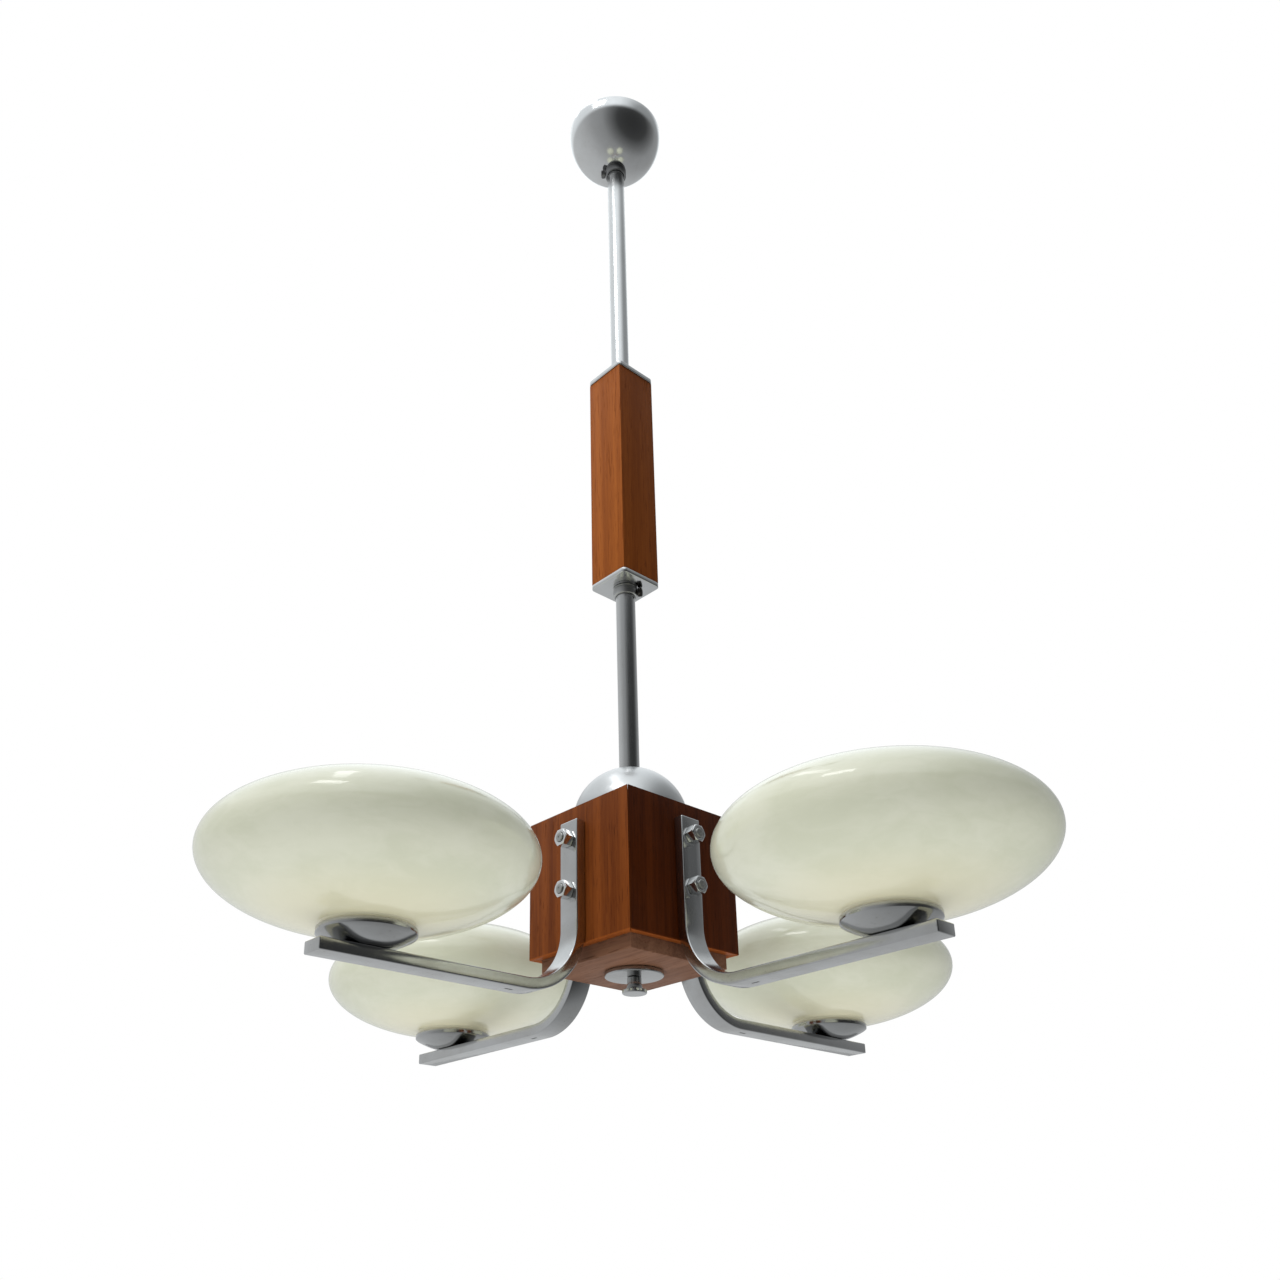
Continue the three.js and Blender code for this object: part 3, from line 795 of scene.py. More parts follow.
# %% Knurled screws
def knurled_screw(node, finish):
    """A thumbscrew that lies along its bearing: shank, then a knurled and domed head."""
    outwards, height = bearing_of(node)
    tip = stem_radius + 0.3 * mm
    head_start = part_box("block_collar")[1].x + 0.3 * mm
    head_length = 4.5 * mm
    head_radius = 4 * mm
    crown = 0.8 * mm
    head_end = head_start + head_length
    piece = turned(
        [
            (0, tip),
            (screw_radius - 0.4 * mm, tip),
            (screw_radius, tip + 0.4 * mm),
            (screw_radius, head_start),
            (head_radius - 0.5 * mm, head_start),
            (head_radius, head_start + 0.5 * mm),
            (head_radius, head_end - crown),
            (head_radius - crown, head_end - 0.2 * mm),
            (head_radius - 2 * crown, head_end),
            (0, head_end),
        ],
        sides=36,
    )
    edit(piece)

    def is_rib(middle, normal):
        on_side = abs(normal.z) < 0.1 and math.hypot(middle.x, middle.y) > screw_radius + 1 * mm
        step = round(math.degrees(math.atan2(middle.y, middle.x)) / 10 - 0.5)
        return on_side and step % 2 == 0

    pick_faces(piece, is_rib)
    bpy.ops.mesh.inset(thickness=0.08 * mm, depth=-0.25 * mm, use_individual=True)
    take(piece)
    piece.rotation_euler = outwards.to_track_quat("Z", "Y").to_euler()
    piece.location = (0, 0, height)
    return settle(piece, node + "_thumb", node, [node], finish)


report(knurled_screw("canopy_screw", grey_steel), knurled_screw("block_screw", black_steel))

# %% [markdown]
# ## The wooden block and its plates
# Partway down the stem a square wooden block is held between two thin chromed plates with rounded corners.
# A cube taken to size, with softened edges and a hole for the stem, is what the real block is. The plates
# stand slightly proud of the wood on all sides.

# %% Squared pieces
def squared(low, high):
    """A cube placed and scaled to fill a box."""
    deselect()
    bpy.ops.mesh.primitive_cube_add(size=1, location=(low + high) / 2)
    piece = bpy.context.object
    piece.scale = high - low
    apply_place(piece)
    return piece


def stem_drill(low, high):
    """A cutting rod for the stem's hole through a squared piece."""
    past = Vector((0, 0, 1 * mm))
    return drill(stem_hole, Vector((0, 0, low.z)) - past, Vector((0, 0, high.z)) + past)


def round_corners(piece, size, segments=8):
    """Rounds only the four upright edges."""
    edit(piece, "EDGE")
    pick_edges(piece, lambda a, b: abs(a.z - b.z) > 1 * mm and math.hypot(a.x - b.x, a.y - b.y) < 0.01 * mm)
    bpy.ops.mesh.bevel(offset=size, segments=segments)
    deselect()


# %% [markdown]
# ## The block itself
# The edges are softened before the hole is cut, so that the Bevel doesn't also round the hole's rim, which
# sits hidden against the plates.

# %% Block
block_low, block_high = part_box("block")
block = squared(block_low, block_high)
soften(block, 0.5 * mm)
carve(block, stem_drill(block_low, block_high))
settle(block, "block_wood", "block", ["block"], block_veneer)
report(block)

# %% [markdown]
# ## The block's two plates
# Only the upright edges get the large corner radius, so they are picked and bevelled by themselves in edit
# mode. A small Bevel then rolls the sheet's edges.

# %% Block plates
for name in ("block_top_plate", "block_bottom_plate"):
    low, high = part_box(name)
    plate = squared(low, high)
    round_corners(plate, 4 * mm)
    soften(plate, 0.7 * mm, segments=4)
    carve(plate, stem_drill(low, high))
    settle(plate, name + "_chromed", "block", [name], cup_chrome)
    report(plate)

# %% [markdown]
# ## Dome on the box
# The same pressing as the canopy's bowl stands mouth down on the box and covers the joint with the stem.
# Its finish is satin, so it shows one soft highlight instead of a mirror image.

# %% Dome
dome_low, dome_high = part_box("dome")
dome_radius = dome_high.x
dome_rise = 47.5 * mm - 0.3 * mm
dome_end = math.degrees(math.acos(stem_hole / dome_radius))
inner_end = math.degrees(math.acos(stem_hole / (dome_radius - sheet)))
dome_outside = arc(dome_radius, dome_rise, dome_low.z, 3, dome_end, 36)
dome_inside = arc(dome_radius - sheet, dome_rise - sheet, dome_low.z, inner_end, 0, 36)
dome_lip = [(dome_radius - 0.5 * mm, dome_low.z), (dome_radius, dome_low.z + 0.5 * mm)]
dome = turned([*dome_lip, *dome_outside, *dome_inside, dome_lip[0]])
settle(dome, "dome_cover", "fixture", ["dome"], satin_chrome)
report(dome)

# %% [markdown]
# ## The box
# Four veneered panels meet in mitres, a board closes the top, and a thicker base board stands a little proud
# below them. Each panel starts as a slab. Its inner face is drawn in at both ends, which makes the mitres,
# and its edges are softened before the bolt holes are drilled.

# %% Box panels
panel_low, panel_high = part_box("box_panel_1")
panel_thickness = panel_high.x - panel_low.x
bolt_heights = [
    (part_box("arm_bolt_1_" + which)[0].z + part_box("arm_bolt_1_" + which)[1].z) / 2
    for which in ("upper", "lower")
]
panel = squared(panel_low, panel_high)
edit(panel)
pick_faces(panel, lambda middle, normal: normal.x < -0.9)
panel_width = panel_high.y - panel_low.y
drawn_in = (panel_width - 2 * panel_thickness) / panel_width
bpy.ops.transform.resize(value=(1, drawn_in, 1), center_override=((panel_low.x, 0, 0)))
deselect()
soften(panel, 0.35 * mm, segments=2)
past = 1 * mm
for height in bolt_heights:
    carve(panel, drill(4.4 * mm, (panel_low.x - past, 0, height), (panel_high.x + past, 0, height), 32))
settle_round(panel, "box_panel", "veneered", "fixture", veneer)

# %% [markdown]
# ## The boards that close the box
# Both boards are squared pieces with softened edges. The top one has a hole for the stem, and the base one a
# smaller hole for the rod that draws it up.

# %% Top and base boards
top_low, top_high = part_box("box_top_board")
top_board = squared(top_low, top_high)
soften(top_board, 0.3 * mm, segments=2)
carve(top_board, stem_drill(top_low, top_high))
settle(top_board, "box_top_wood", "fixture", ["box_top_board"], base_wood)

base_low, base_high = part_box("base_board")
base_board = squared(base_low, base_high)
soften(base_board, 0.6 * mm)
tie_radius = 3 * mm
below, above = Vector((0, 0, base_low.z - past)), Vector((0, 0, base_high.z + past))
carve(base_board, drill(tie_radius + 0.4 * mm, below, above, 32))
settle(base_board, "base_wood_board", "fixture", ["base_board"], base_wood)
report(top_board, base_board)

# %% [markdown]
# ## Washer, knob and tie rod
# A rod screwed into the stem's lower end comes down through the base board, and a trumpet-shaped knob draws
# the board up against a broad washer. The washer has a thick rounded edge, and the knob swells from a
# straight neck to a flat round head.

# %% Washer
washer_low, washer_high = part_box("base_washer")
washer_edge = 1.1 * mm
washer_radius = washer_high.x
washer = turned(
    [
        (tie_radius + 0.4 * mm, washer_low.z),
        *rounding(washer_radius - washer_edge, washer_low.z + washer_edge, washer_edge, -90, 0, 6),
        *rounding(washer_radius - washer_edge, washer_high.z - washer_edge, washer_edge, 0, 90, 6),
        (tie_radius + 0.4 * mm, washer_high.z),
        (tie_radius + 0.4 * mm, washer_low.z),
    ]
)
settle(washer, "base_washer_disc", "fixture", ["base_washer"], dish_chrome_painted_shade)
report(washer)

# %% [markdown]
# ## The knob
# The flare from the neck to the head is a quarter of an ellipse, written as a loop, so that its curve stays
# even. The head's edge is rounded, and a blind hole in the neck takes the rod.

# %% Knob
knob_low, knob_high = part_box("base_knob")
head_radius = knob_high.x
neck_radius = 5.8 * mm
head_edge = 1.0 * mm
flare_low = knob_low.z + 3 * mm
flare = [
    (head_radius - (head_radius - neck_radius) * math.sin(a), flare_low + 5 * mm * (1 - math.cos(a)))
    for a in [math.radians(9 * i) for i in range(11)]
]
knob = turned(
    [
        (0, knob_low.z),
        (head_radius - 3 * mm, knob_low.z + 0.15 * mm),
        *rounding(head_radius - head_edge, knob_low.z + head_edge + 0.2 * mm, head_edge, -90, 0, 6),
        *flare,
        (neck_radius, knob_high.z - 0.4 * mm),
        (neck_radius - 0.4 * mm, knob_high.z),
        (tie_radius + 0.4 * mm, knob_high.z),
        (tie_radius + 0.4 * mm, knob_high.z - 9.3 * mm),
        (0, knob_high.z - 9.3 * mm),
    ]
)
settle(knob, "base_knob_trumpet", "knob", ["base_knob"], bar_chrome)
report(knob)

# %% [markdown]
# ## The tie rod
# The thread is a stack of small ridges, not a helix. At this size nobody can tell, and rings close cleanly.

# %% Tie rod
rod_low, rod_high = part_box("tie_rod")
thread_depth = 0.4 * mm
ribs = []
for step in range(20):
    z = rod_low.z + 0.6 * mm + step * 1.0 * mm
    ribs += [(tie_radius - thread_depth, z), (tie_radius, z + 0.5 * mm)]
tie_rod = turned(
    [
        (0, rod_low.z),
        (tie_radius - 0.8 * mm, rod_low.z),
        *ribs,
        (tie_radius, stem_low.z),
        (rod_high.x, stem_low.z),
        (rod_high.x, rod_high.z),
        (0, rod_high.z),
    ],
    sides=48,
)
settle(tie_rod, "tie_rod_threaded", "fixture", ["tie_rod"], bolt_steel)
report(tie_rod)

# %% [markdown]
# ## Nuts and bolts
# A hexagon nut is a six-sided prism whose corners are turned off by a shallow cone, which leaves the curved
# edges one sees on every real nut. So the prism is cut by a Boolean with a turned blank of the right
# profile. The bolt's end stands a little out of the nut, with a rounded tip.

# %% Hexagon pieces
def hexagon(across_flats, low, high, dish=1.0):
    """A nut or bolt head on the Z axis whose outer corners are turned off at both ends."""
    corner = across_flats / math.sqrt(3)
    deselect()
    bpy.ops.mesh.primitive_cylinder_add(
        vertices=6, radius=corner, depth=high - low, location=(0, 0, (low + high) / 2)
    )
    prism = bpy.context.object
    apply_place(prism)
    flat = across_flats / 2
    drop = (corner - flat) * 0.62 * dish
    blank = turned(
        [
            (0, low - 0.01 * mm),
            (flat * 0.97, low - 0.01 * mm),
            (corner + 0.05 * mm, low + drop),
            (corner + 0.05 * mm, high - drop),
            (flat * 0.97, high + 0.01 * mm),
            (0, high + 0.01 * mm),
        ]
    )
    modify(prism, "BOOLEAN", operation="INTERSECT", solver="EXACT", object=blank)
    bpy.data.objects.remove(blank)
    return prism


def lay_outwards(piece, height):
    """Lays a piece that stands on the Z axis along +X, at a height."""
    piece.rotation_euler = (0, math.radians(90), 0)
    piece.location = (0, 0, height)
    apply_place(piece)


bolt_radius = 4 * mm
nut_low, nut_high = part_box("arm_nut_1_upper")
bolt_low, bolt_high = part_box("arm_bolt_1_upper")
nut = hexagon(13 * mm, nut_low.x, nut_high.x)
nut_hole_radius = bolt_radius + 0.35 * mm
carve(nut, drill(nut_hole_radius, (0, 0, nut_low.x - past), (0, 0, nut_high.x + past), 48))
soften(nut, 0.18 * mm, segments=2, angle=25)
print("nut", len(nut.data.polygons), "faces")

# %% [markdown]
# ## The bolt
# Its head is the same hexagon. A turned shank, with a few ridges of thread where it leaves the nut, is joined
# to the head by a Boolean union, so that the bolt is one closed piece.

# %% Bolt with a threaded end
bolt_head = hexagon(13 * mm, bolt_low.x, bolt_low.x + 5 * mm)
thread_start = nut_high.x - 3 * mm
bolt_thread = []
for step in range(3):
    z = thread_start + step * 1.0 * mm
    bolt_thread += [(bolt_radius, z), (bolt_radius - 0.45 * mm, z + 0.5 * mm)]
shank = turned(
    [
        (0, bolt_low.x + 4 * mm),
        (bolt_radius - 0.02 * mm, bolt_low.x + 4 * mm),
        *bolt_thread,
        (bolt_radius - 0.1 * mm, nut_high.x),
        *rounding(bolt_radius - 1.0 * mm, bolt_high.x - 1.0 * mm, 0.9 * mm, 0, 90, 5),
        (1.2 * mm, bolt_high.x - 0.1 * mm),
        (1.0 * mm, bolt_high.x - 0.5 * mm),
        (0, bolt_high.x - 0.6 * mm),
    ],
    sides=48,
)
modify(bolt_head, "BOOLEAN", operation="UNION", solver="EXACT", object=shank)
bpy.data.objects.remove(shank)
print("bolt", len(bolt_head.data.polygons), "faces")

# %% [markdown]
# ## Sixteen copies
# The nut and the bolt were made standing up. They are laid outwards once, and each copy is lifted to its
# height and turned to its arm. The two patterns are then removed.

# %% Copies of the nut and the bolt, two to an arm
lay_outwards(nut, 0)
lay_outwards(bolt_head, 0)
for number in arm_numbers:
    for which, height in zip(("upper", "lower"), bolt_heights):
        for pattern, kind, finish, slot in (
            (nut, "arm_nut", nut_chrome_painted_light, "chrome"),
            (bolt_head, "arm_bolt", bolt_steel, "steel"),
        ):
            copy = twin_round(pattern, 0)
            copy.location = (0, 0, height)
            apply_place(copy)
            copy.rotation_euler = (0, 0, math.radians(90 * (number - 1)))
            node = f"{kind}_{number}_{which}"
            settle(copy, node + "_hex", "fixture", [node], finish, smooth=25)
bpy.data.objects.remove(nut)
bpy.data.objects.remove(bolt_head)
print("16 nuts and bolts")

# %% [markdown]
# ## The nut on the stem
# The stem is held in the box by a large nut under the top board. The hexagon helper makes it at its real
# place, because it stands on the same axis.

# %% Stem nut
stem_nut_low, stem_nut_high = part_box("stem_nut")
stem_nut = hexagon(24 * mm, stem_nut_low.z, stem_nut_high.z)
carve(stem_nut, stem_drill(stem_nut_low, stem_nut_high))
settle(stem_nut, "stem_nut_hex", "fixture", ["stem_nut"], bolt_steel, smooth=25)
report(stem_nut)

# %% [markdown]
# ## Arms
# An arm is a flat rectangular tube, bolted upright to the box and bent through a quarter circle to run out
# level. Its section is drawn once, with rounded corners, and carried along its way: extruded down the box,
# spun round the bend, and extruded out to the end. Giving the closed skin a thickness makes it a tube.

# %% Arm section and run
arm_low, arm_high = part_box("arm_1")
arm_width = 20 * mm
arm_thickness = 9 * mm
bend_radius = 48 * mm
arm_outer = arm_low.x + arm_thickness
level_top = arm_low.z + arm_thickness
bend_centre = Vector((arm_outer + bend_radius, 0, level_top + bend_radius))

deselect()
bpy.ops.mesh.primitive_plane_add(size=1, location=((arm_low.x + arm_outer) / 2, 0, arm_high.z))
arm = bpy.context.object
arm.scale = (arm_thickness, arm_width, 1)
apply_place(arm)
edit(arm)
bpy.ops.mesh.select_all(action="SELECT")
bpy.ops.mesh.delete(type="ONLY_FACE")
bpy.ops.mesh.select_mode(type="EDGE")
bpy.ops.mesh.select_all(action="SELECT")
bpy.ops.mesh.extrude_region_move(TRANSFORM_OT_translate={"value": (0, 0, bend_centre.z - arm_high.z)})
bpy.ops.mesh.spin(steps=28, angle=math.radians(90), center=bend_centre, axis=(0, 1, 0), dupli=False)
deselect()
reach = max(v.co.x for v in arm.data.vertices)
print("the bend ends", round(reach / mm, 1), "mm out; the arm ends", round(arm_high.x / mm, 1))

# %% [markdown]
# ## From a skin to a tube
# The last edges of the bend are extruded out to the arm's end and filled there. Solidify then gives the skin
# its wall, inwards, and the Bevel comes after it: a corner rounded first could be tighter than the wall.

# %% The arm's level run, its closed end and its wall
edit(arm, "EDGE")
pick_edges(arm, lambda a, b: min(a.x, b.x) > bend_centre.x - 0.05 * mm)
bpy.ops.mesh.extrude_region_move(TRANSFORM_OT_translate={"value": (arm_high.x - bend_centre.x, 0, 0)})
bpy.ops.mesh.edge_face_add()
bpy.ops.mesh.select_all(action="SELECT")
bpy.ops.mesh.remove_doubles(threshold=merge_distance)
bpy.ops.mesh.normals_make_consistent(inside=False)
deselect()
end_normals = [face.normal.x for face in arm.data.polygons if face.center.x > arm_high.x - 0.1 * mm]
print("the closed end faces", "outwards" if end_normals[0] > 0 else "inwards")
modify(arm, "SOLIDIFY", thickness=2 * mm, offset=-1, use_even_offset=True, use_rim=True)
soften(arm, 1.5 * mm, segments=4)
print("arm tube", len(arm.data.polygons), "faces")

# %% [markdown]
# ## Holes in the arm
# Bolts pass through the upright part, the lampholder's nipple stands in a hole at the other end, and the wire
# goes in by a narrow slot in the underside, just past the bend.

# %% The arm's holes and wire slot
slot_length = 7 * mm
slot_start = bend_centre.x + 6 * mm
for height in bolt_heights:
    carve(arm, drill(4.4 * mm, (arm_low.x - past, 0, height), (arm_outer + past, 0, height), 32))
carve(arm, drill(5.4 * mm, (shade_reach, 0, level_top - 4 * mm), (shade_reach, 0, level_top + past), 48))
slot_low = Vector((slot_start, -0.8 * mm, arm_low.z - past))
slot_high = Vector((slot_start + slot_length, 0.8 * mm, arm_low.z + 3 * mm))
carve(arm, squared(slot_low, slot_high))
settle_round(arm, "arm", "bar", "fixture", bar_chrome, smooth=28)

# %% [markdown]
# ## Dishes
# Each shade stands in a shallow dish with a level middle, a curved underside and a short upright rim. The
# rim's edge is rolled, which is what catches the light in a bright thin line.

# %% Dishes
dish_low, dish_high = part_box("dish_1")
dish_radius = (dish_high.x - dish_low.x) / 2
dish_flat = 13 * mm
rim_height = 4.4 * mm
dish_curve = dish_high.z - dish_low.z - rim_height
dish_hole = 5.4 * mm


def dish_under(radius):
    """Height of the dish's underside at a radius."""
    share = max(0.0, radius - dish_flat) / (dish_radius - dish_flat)
    return dish_low.z + dish_curve * share**1.5


sweep = [dish_flat + (dish_radius - dish_flat) * i / 14 for i in range(15)]
dish_outside = [(radius, dish_under(radius)) for radius in sweep[:-1]]
dish_inside = [(radius - 0.3 * mm, dish_under(radius) + sheet) for radius in reversed(sweep[:-1])]
dish = turned(
    [
        (dish_hole, dish_low.z),
        *dish_outside,
        *rounding(dish_radius - 0.6 * mm, dish_under(dish_radius) + 0.6 * mm, 0.6 * mm, -50, 0),
        *rounding(dish_radius - sheet / 2, dish_high.z - sheet / 2, sheet / 2, 0, 180, 8),
        (dish_radius - sheet, dish_under(dish_radius) + sheet),
        *dish_inside,
        (dish_hole, dish_low.z + sheet),
        (dish_hole, dish_low.z),
    ]
)
dish.location = (shade_reach, 0, 0)
apply_place(dish)
settle_round(dish, "dish", "spun", "fixture", dish_chrome_painted_shade)

# %% [markdown]
# ## Shades
# The glass was blown into a flattened ball with a short neck below. Its profile is an ellipse, joined to the
# neck by a small fillet, and the inside follows three millimetres away. The wall is real, because a shade
# can be lifted out of its dish, and its neck and its thickness show then.

# %% Shades
shade_radius = (shade_high.x - shade_low.x) / 2
half_height = 49.8 * mm
shade_middle = shade_high.z - half_height
glass = 3 * mm
neck_outer = dish_radius - sheet - 0.5 * mm
outer_start = -math.degrees(math.acos((neck_outer + 1.2 * mm) / shade_radius))
inner_radius = shade_radius - glass
inner_end = -math.degrees(math.acos((neck_outer - glass) / inner_radius))
outside = arc(shade_radius, half_height, shade_middle, outer_start, 90, 60)
inside = arc(inner_radius, half_height - glass, shade_middle, 90, inner_end, 48)
neck_join = outside[0][1]
shade = turned(
    [
        *reversed(outside),
        (neck_outer + 0.35 * mm, neck_join - 0.35 * mm),
        (neck_outer, neck_join - 1.2 * mm),
        *rounding(neck_outer - glass / 2, shade_low.z + glass / 2, glass / 2, 0, -180, 10),
        *reversed(inside),
    ],
    sides=128,
)
shade.location = (shade_reach, 0, 0)
apply_place(shade)
settle_round(shade, "shade", "glass", None, opal_glass, smooth=60)

# %% [markdown]
# ## Lampholders and bulbs
# Inside each shade an ivory holder stands on a threaded nipple, and a round bulb screws into it. The holder
# has a ribbed skirt. The bulb is two pieces that move together: the glass, and its threaded metal cap.

# %% Lampholders
holder_low, holder_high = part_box("lampholder_1")
nipple_radius = 5 * mm
holder_radius = (holder_high.x - holder_low.x) / 2
holder_foot = dish_low.z + sheet + 0.3 * mm
holder_inner = holder_radius - 2.6 * mm
skirt = []
for rib in range(7):
    z = holder_foot + 8 * mm + rib * 3.4 * mm
    skirt += [(holder_radius - 0.5 * mm, z), (holder_radius, z + 0.8 * mm), (holder_radius, z + 1.8 * mm)]
holder = turned(
    [
        (0, holder_low.z),
        (nipple_radius, holder_low.z),
        (nipple_radius, holder_foot),
        (nipple_radius + 5 * mm, holder_foot),
        *rounding(holder_radius - 3 * mm, holder_foot + 6 * mm, 2.5 * mm, -60, 0),
        *skirt,
        *rounding(holder_radius - 1 * mm, holder_high.z - 1 * mm, 1 * mm, 0, 90),
        (holder_inner, holder_high.z),
        (holder_inner, holder_foot + 10 * mm),
        (0, holder_foot + 10 * mm),
    ],
    sides=64,
)
holder.location = (shade_reach, 0, 0)
apply_place(holder)
settle_round(holder, "lampholder", "ivory", "fixture", glazed_ivory)

# %% [markdown]
# ## Bulbs
# The globe is a ball drawn out into a neck, and the cap a stack of rounded ridges that ends in a contact.
# They are two pieces because glass and brass need two finishes, and both ride on the bulb's body.

# %% Bulbs
bulb_low, bulb_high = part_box("bulb_1")
globe_radius = (bulb_high.x - bulb_low.x) / 2
globe_middle = bulb_high.z - globe_radius
bulb_neck = 12 * mm
cap_radius = holder_inner - 0.9 * mm
glass_start = -math.degrees(math.acos((bulb_neck + 2 * mm) / globe_radius))
globe = turned(
    [
        (0, holder_high.z - 1 * mm),
        (bulb_neck, holder_high.z - 1 * mm),
        (bulb_neck, holder_high.z + 2 * mm),
        *arc(globe_radius, globe_radius, globe_middle, glass_start, 90, 32),
    ]
)
cap_thread = []
for turn in range(6):
    z = bulb_low.z + 5 * mm + turn * 3 * mm
    cap_thread += [(cap_radius - 1 * mm, z), (cap_radius, z + 0.8 * mm), (cap_radius, z + 1.8 * mm)]
cap = turned(
    [
        (0, bulb_low.z),
        (4 * mm, bulb_low.z),
        (5 * mm, bulb_low.z + 1 * mm),
        (cap_radius - 2 * mm, bulb_low.z + 4 * mm),
        *cap_thread,
        (cap_radius - 1 * mm, holder_high.z - 1.2 * mm),
        (0, holder_high.z - 1.2 * mm),
    ],
    sides=64,
)
for piece, part, finish in ((globe, "globe", bulb_white), (cap, "cap", cap_brass)):
    piece.location = (shade_reach, 0, 0)
    apply_place(piece)
    settle_round(piece, "bulb", part, None, finish)

# %% [markdown]
# ## Terminal block
# The wires of the four arms are joined on a small moulded block inside the box. It is a slab with a row of
# raised barrels along its top, each with a screw well. Every well is made by insetting a barrel's top face
# and pressing it down.

# %% Terminal block
terminal_low, terminal_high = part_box("terminal_block")
step_height = 4 * mm
terminal = squared(terminal_low, Vector((terminal_high.x, terminal_high.y, terminal_high.z - step_height)))
soften(terminal, 0.5 * mm, segments=2)
well_columns = 4
column_width = (terminal_high.x - terminal_low.x) / well_columns
barrels = []
for column in range(well_columns):
    x = terminal_low.x + (column + 0.5) * column_width
    for y in (terminal_low.y + 5 * mm, terminal_high.y - 5 * mm):
        deselect()
        bpy.ops.mesh.primitive_cylinder_add(
            vertices=24,
            radius=3.8 * mm,
            depth=step_height + 1 * mm,
            location=(x, y, terminal_high.z - step_height / 2 - 0.5 * mm),
        )
        barrel = bpy.context.object
        apply_place(barrel)
        edit(barrel)
        pick_faces(barrel, lambda middle, normal: normal.z > 0.9)
        bpy.ops.mesh.inset(thickness=1.2 * mm)
        bpy.ops.mesh.extrude_region_move(TRANSFORM_OT_translate={"value": (0, 0, -3 * mm)})
        barrels.append(barrel)
deselect()
for barrel in barrels:
    modify(terminal, "BOOLEAN", operation="UNION", solver="EXACT", object=barrel)
    bpy.data.objects.remove(barrel)
settle(terminal, "terminal_strip", "fixture", ["terminal_block"], grey_moulding)
report(terminal)

# %% [markdown]
# ## The room
# The lamp hangs over a pale floor in a plain studio. Chrome shows only what is round it, so the room matters
# as much as the metal: a bright ceiling, a light wall to the left, and a dark side to the right and behind
# the viewer. The room's brightness follows the direction, and the camera itself sees plain white.

# %% Floor
floor_height = -1.75
deselect()
bpy.ops.mesh.primitive_plane_add(size=14, location=(0, 0, floor_height))
floor = bpy.context.object
floor.name = "floor"
pale = Finish("pale_floor")
floor_mottle = noise(pale, place_on(pale), 3, 3, 0.5)
floor_colour = blend_colours(pale, floor_mottle, (0.76, 0.76, 0.76), (0.80, 0.80, 0.80))
floor.data.materials.append(pale.surface(Base_Color=floor_colour, Roughness=0.8))
floor.visible_glossy = False
print("floor at", floor_height, "m")

# %% [markdown]
# ## Light from all round
# The world's colour is made from the direction alone. One ramp runs across the walls and another across the
# ceiling, and a smooth step joins them. Coarse tones are enough, because the metal blurs them a little.

# %% Room light
room = bpy.data.worlds.new("studio_room")
bpy.context.scene.world = room
room.use_nodes = True
nodes, links = room.node_tree.nodes, room.node_tree.links
background = nodes["Background"]
direction = nodes.new("ShaderNodeTexCoord").outputs["Generated"]


def tones_across(towards, tones, tint):
    """A colour ramp across the room, from its dim side to the side it runs towards."""
    facing = nodes.new("ShaderNodeVectorMath")
    facing.operation = "DOT_PRODUCT"
    facing.inputs[1].default_value = towards
    links.new(direction, facing.inputs[0])
    share = nodes.new("ShaderNodeMapRange")
    share.inputs["From Min"].default_value = -1.0
    links.new(facing.outputs["Value"], share.inputs["Value"])
    made = nodes.new("ShaderNodeValToRGB")
    links.new(share.outputs["Result"], made.inputs["Fac"])
    ramp = made.color_ramp.elements
    while len(ramp) < len(tones):
        ramp.new(0.5)
    for element, (place, tone) in zip(ramp, tones):
        element.position = place
        element.color = tuple(tone * part for part in tint) + (1,)
    return made.outputs["Color"]


wall_places = (0.0, 0.10, 0.22, 0.35, 0.55, 0.78, 1.0)
wall_tones = list(zip(wall_places, (0.04, 0.06, 0.18, 0.33, 0.40, 0.56, 0.66)))
ceiling_places = (0.0, 0.20, 0.32, 0.42, 0.55, 0.78, 1.0)
ceiling_tones = list(zip(ceiling_places, (0.28, 0.40, 0.90, 1.20, 1.30, 1.00, 0.90)))
walls = tones_across((-1.0, 0.0, 0.0), wall_tones, (0.96, 0.985, 1.0))
ceiling = tones_across((-0.68, -0.73, 0.0), ceiling_tones, (0.93, 0.975, 1.0))
upwards = nodes.new("ShaderNodeSeparateXYZ")
links.new(direction, upwards.inputs["Vector"])
ceiling_share = nodes.new("ShaderNodeMapRange")
ceiling_share.interpolation_type = "SMOOTHSTEP"
ceiling_share.inputs["From Min"].default_value = 0.46
ceiling_share.inputs["From Max"].default_value = 0.64
links.new(upwards.outputs["Z"], ceiling_share.inputs["Value"])
walls_and_ceiling = nodes.new("ShaderNodeMix")
walls_and_ceiling.data_type = "RGBA"
links.new(ceiling_share.outputs["Result"], walls_and_ceiling.inputs[0])
links.new(walls, walls_and_ceiling.inputs[6])
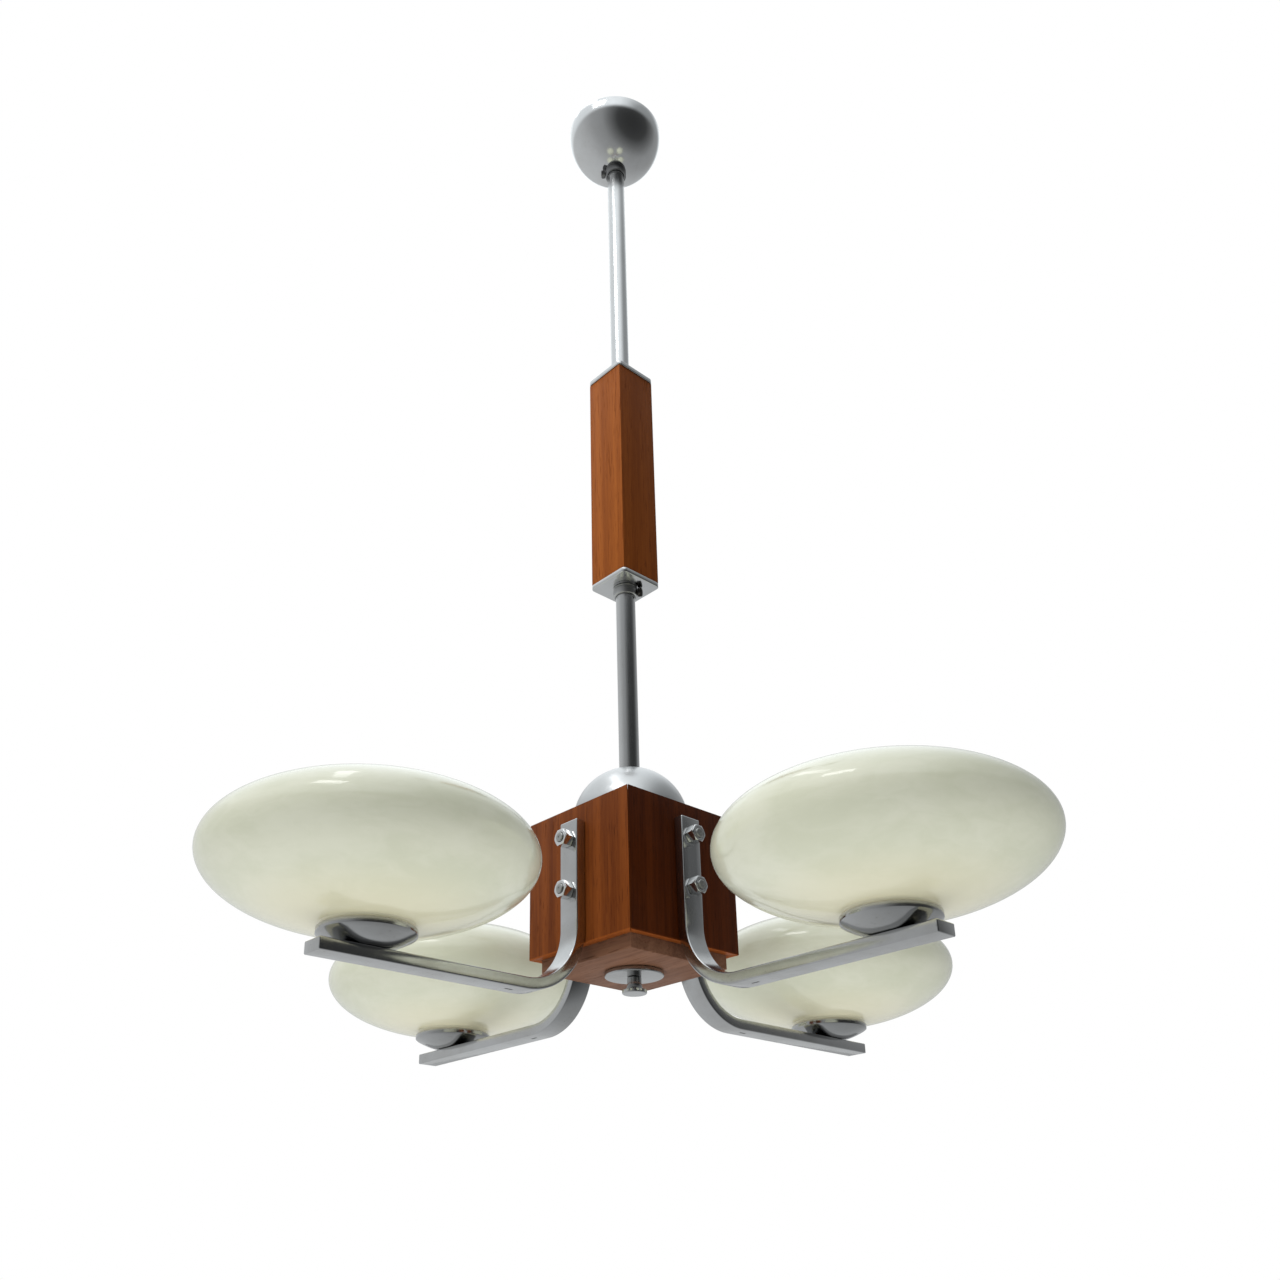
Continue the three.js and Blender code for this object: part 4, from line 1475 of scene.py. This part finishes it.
links.new(ceiling, walls_and_ceiling.inputs[7])
seen = nodes.new("ShaderNodeLightPath")
seen_or_lit = nodes.new("ShaderNodeMix")
seen_or_lit.data_type = "RGBA"
links.new(seen.outputs["Is Camera Ray"], seen_or_lit.inputs[0])
links.new(walls_and_ceiling.outputs[2], seen_or_lit.inputs[6])
seen_or_lit.inputs[7].default_value = (1, 1, 1, 1)
links.new(seen_or_lit.outputs[2], background.inputs["Color"])
print("room light with", len(wall_tones), "wall tones and", len(ceiling_tones), "ceiling tones")

# %% [markdown]
# ## Studio lights
# Broad lights give soft shading, but a broad light mirrored in chrome is a white blot. So the two broad ones
# are unseen in reflections, and two small ones give the highlights on the glass and the tube.

# %% Soft lights
def soft_light(name, place, size, power, aim=None, bearing=0.0, tint=(1, 1, 1)):
    """A rectangular studio light that faces a point, or that faces straight down at a bearing."""
    data = bpy.data.lights.new(name, "AREA")
    data.shape = "RECTANGLE"
    data.size, data.size_y = size
    data.energy = power
    data.color = tint
    light = bpy.data.objects.new(name, data)
    bpy.context.scene.collection.objects.link(light)
    light.location = place
    if aim is None:
        light.rotation_euler = (0, 0, math.radians(bearing))
    else:
        light.rotation_euler = (Vector(aim) - Vector(place)).to_track_quat("-Z", "Y").to_euler()
    return light


lamp_middle = (0, 0, -0.6)
warm_white = (1.0, 0.995, 0.98)
cool_white = (0.97, 0.985, 1.0)
tall_window = soft_light("tall_window", (-0.1, -1.95, 1.1), (1.9, 1.5), 36, lamp_middle, tint=warm_white)
bounce = soft_light("floor_bounce", (0, 0, floor_height + 0.02), (3.0, 3.0), 12.5, aim=(0, 0, 0))
for unseen in (tall_window, bounce):
    unseen.visible_glossy = False
soft_light("small_window", (0.25, -1.45, 1.55), (0.75, 0.4), 5, aim=lamp_middle)
soft_light("ceiling_strip", (-0.42, -0.42, 1.15), (0.95, 0.2), 1.3, bearing=-45, tint=cool_white)
bpy.context.scene.view_settings.view_transform = "Standard"
bpy.context.scene.view_settings.look = "None"
print("four soft lights, the two broad ones unseen in reflections")
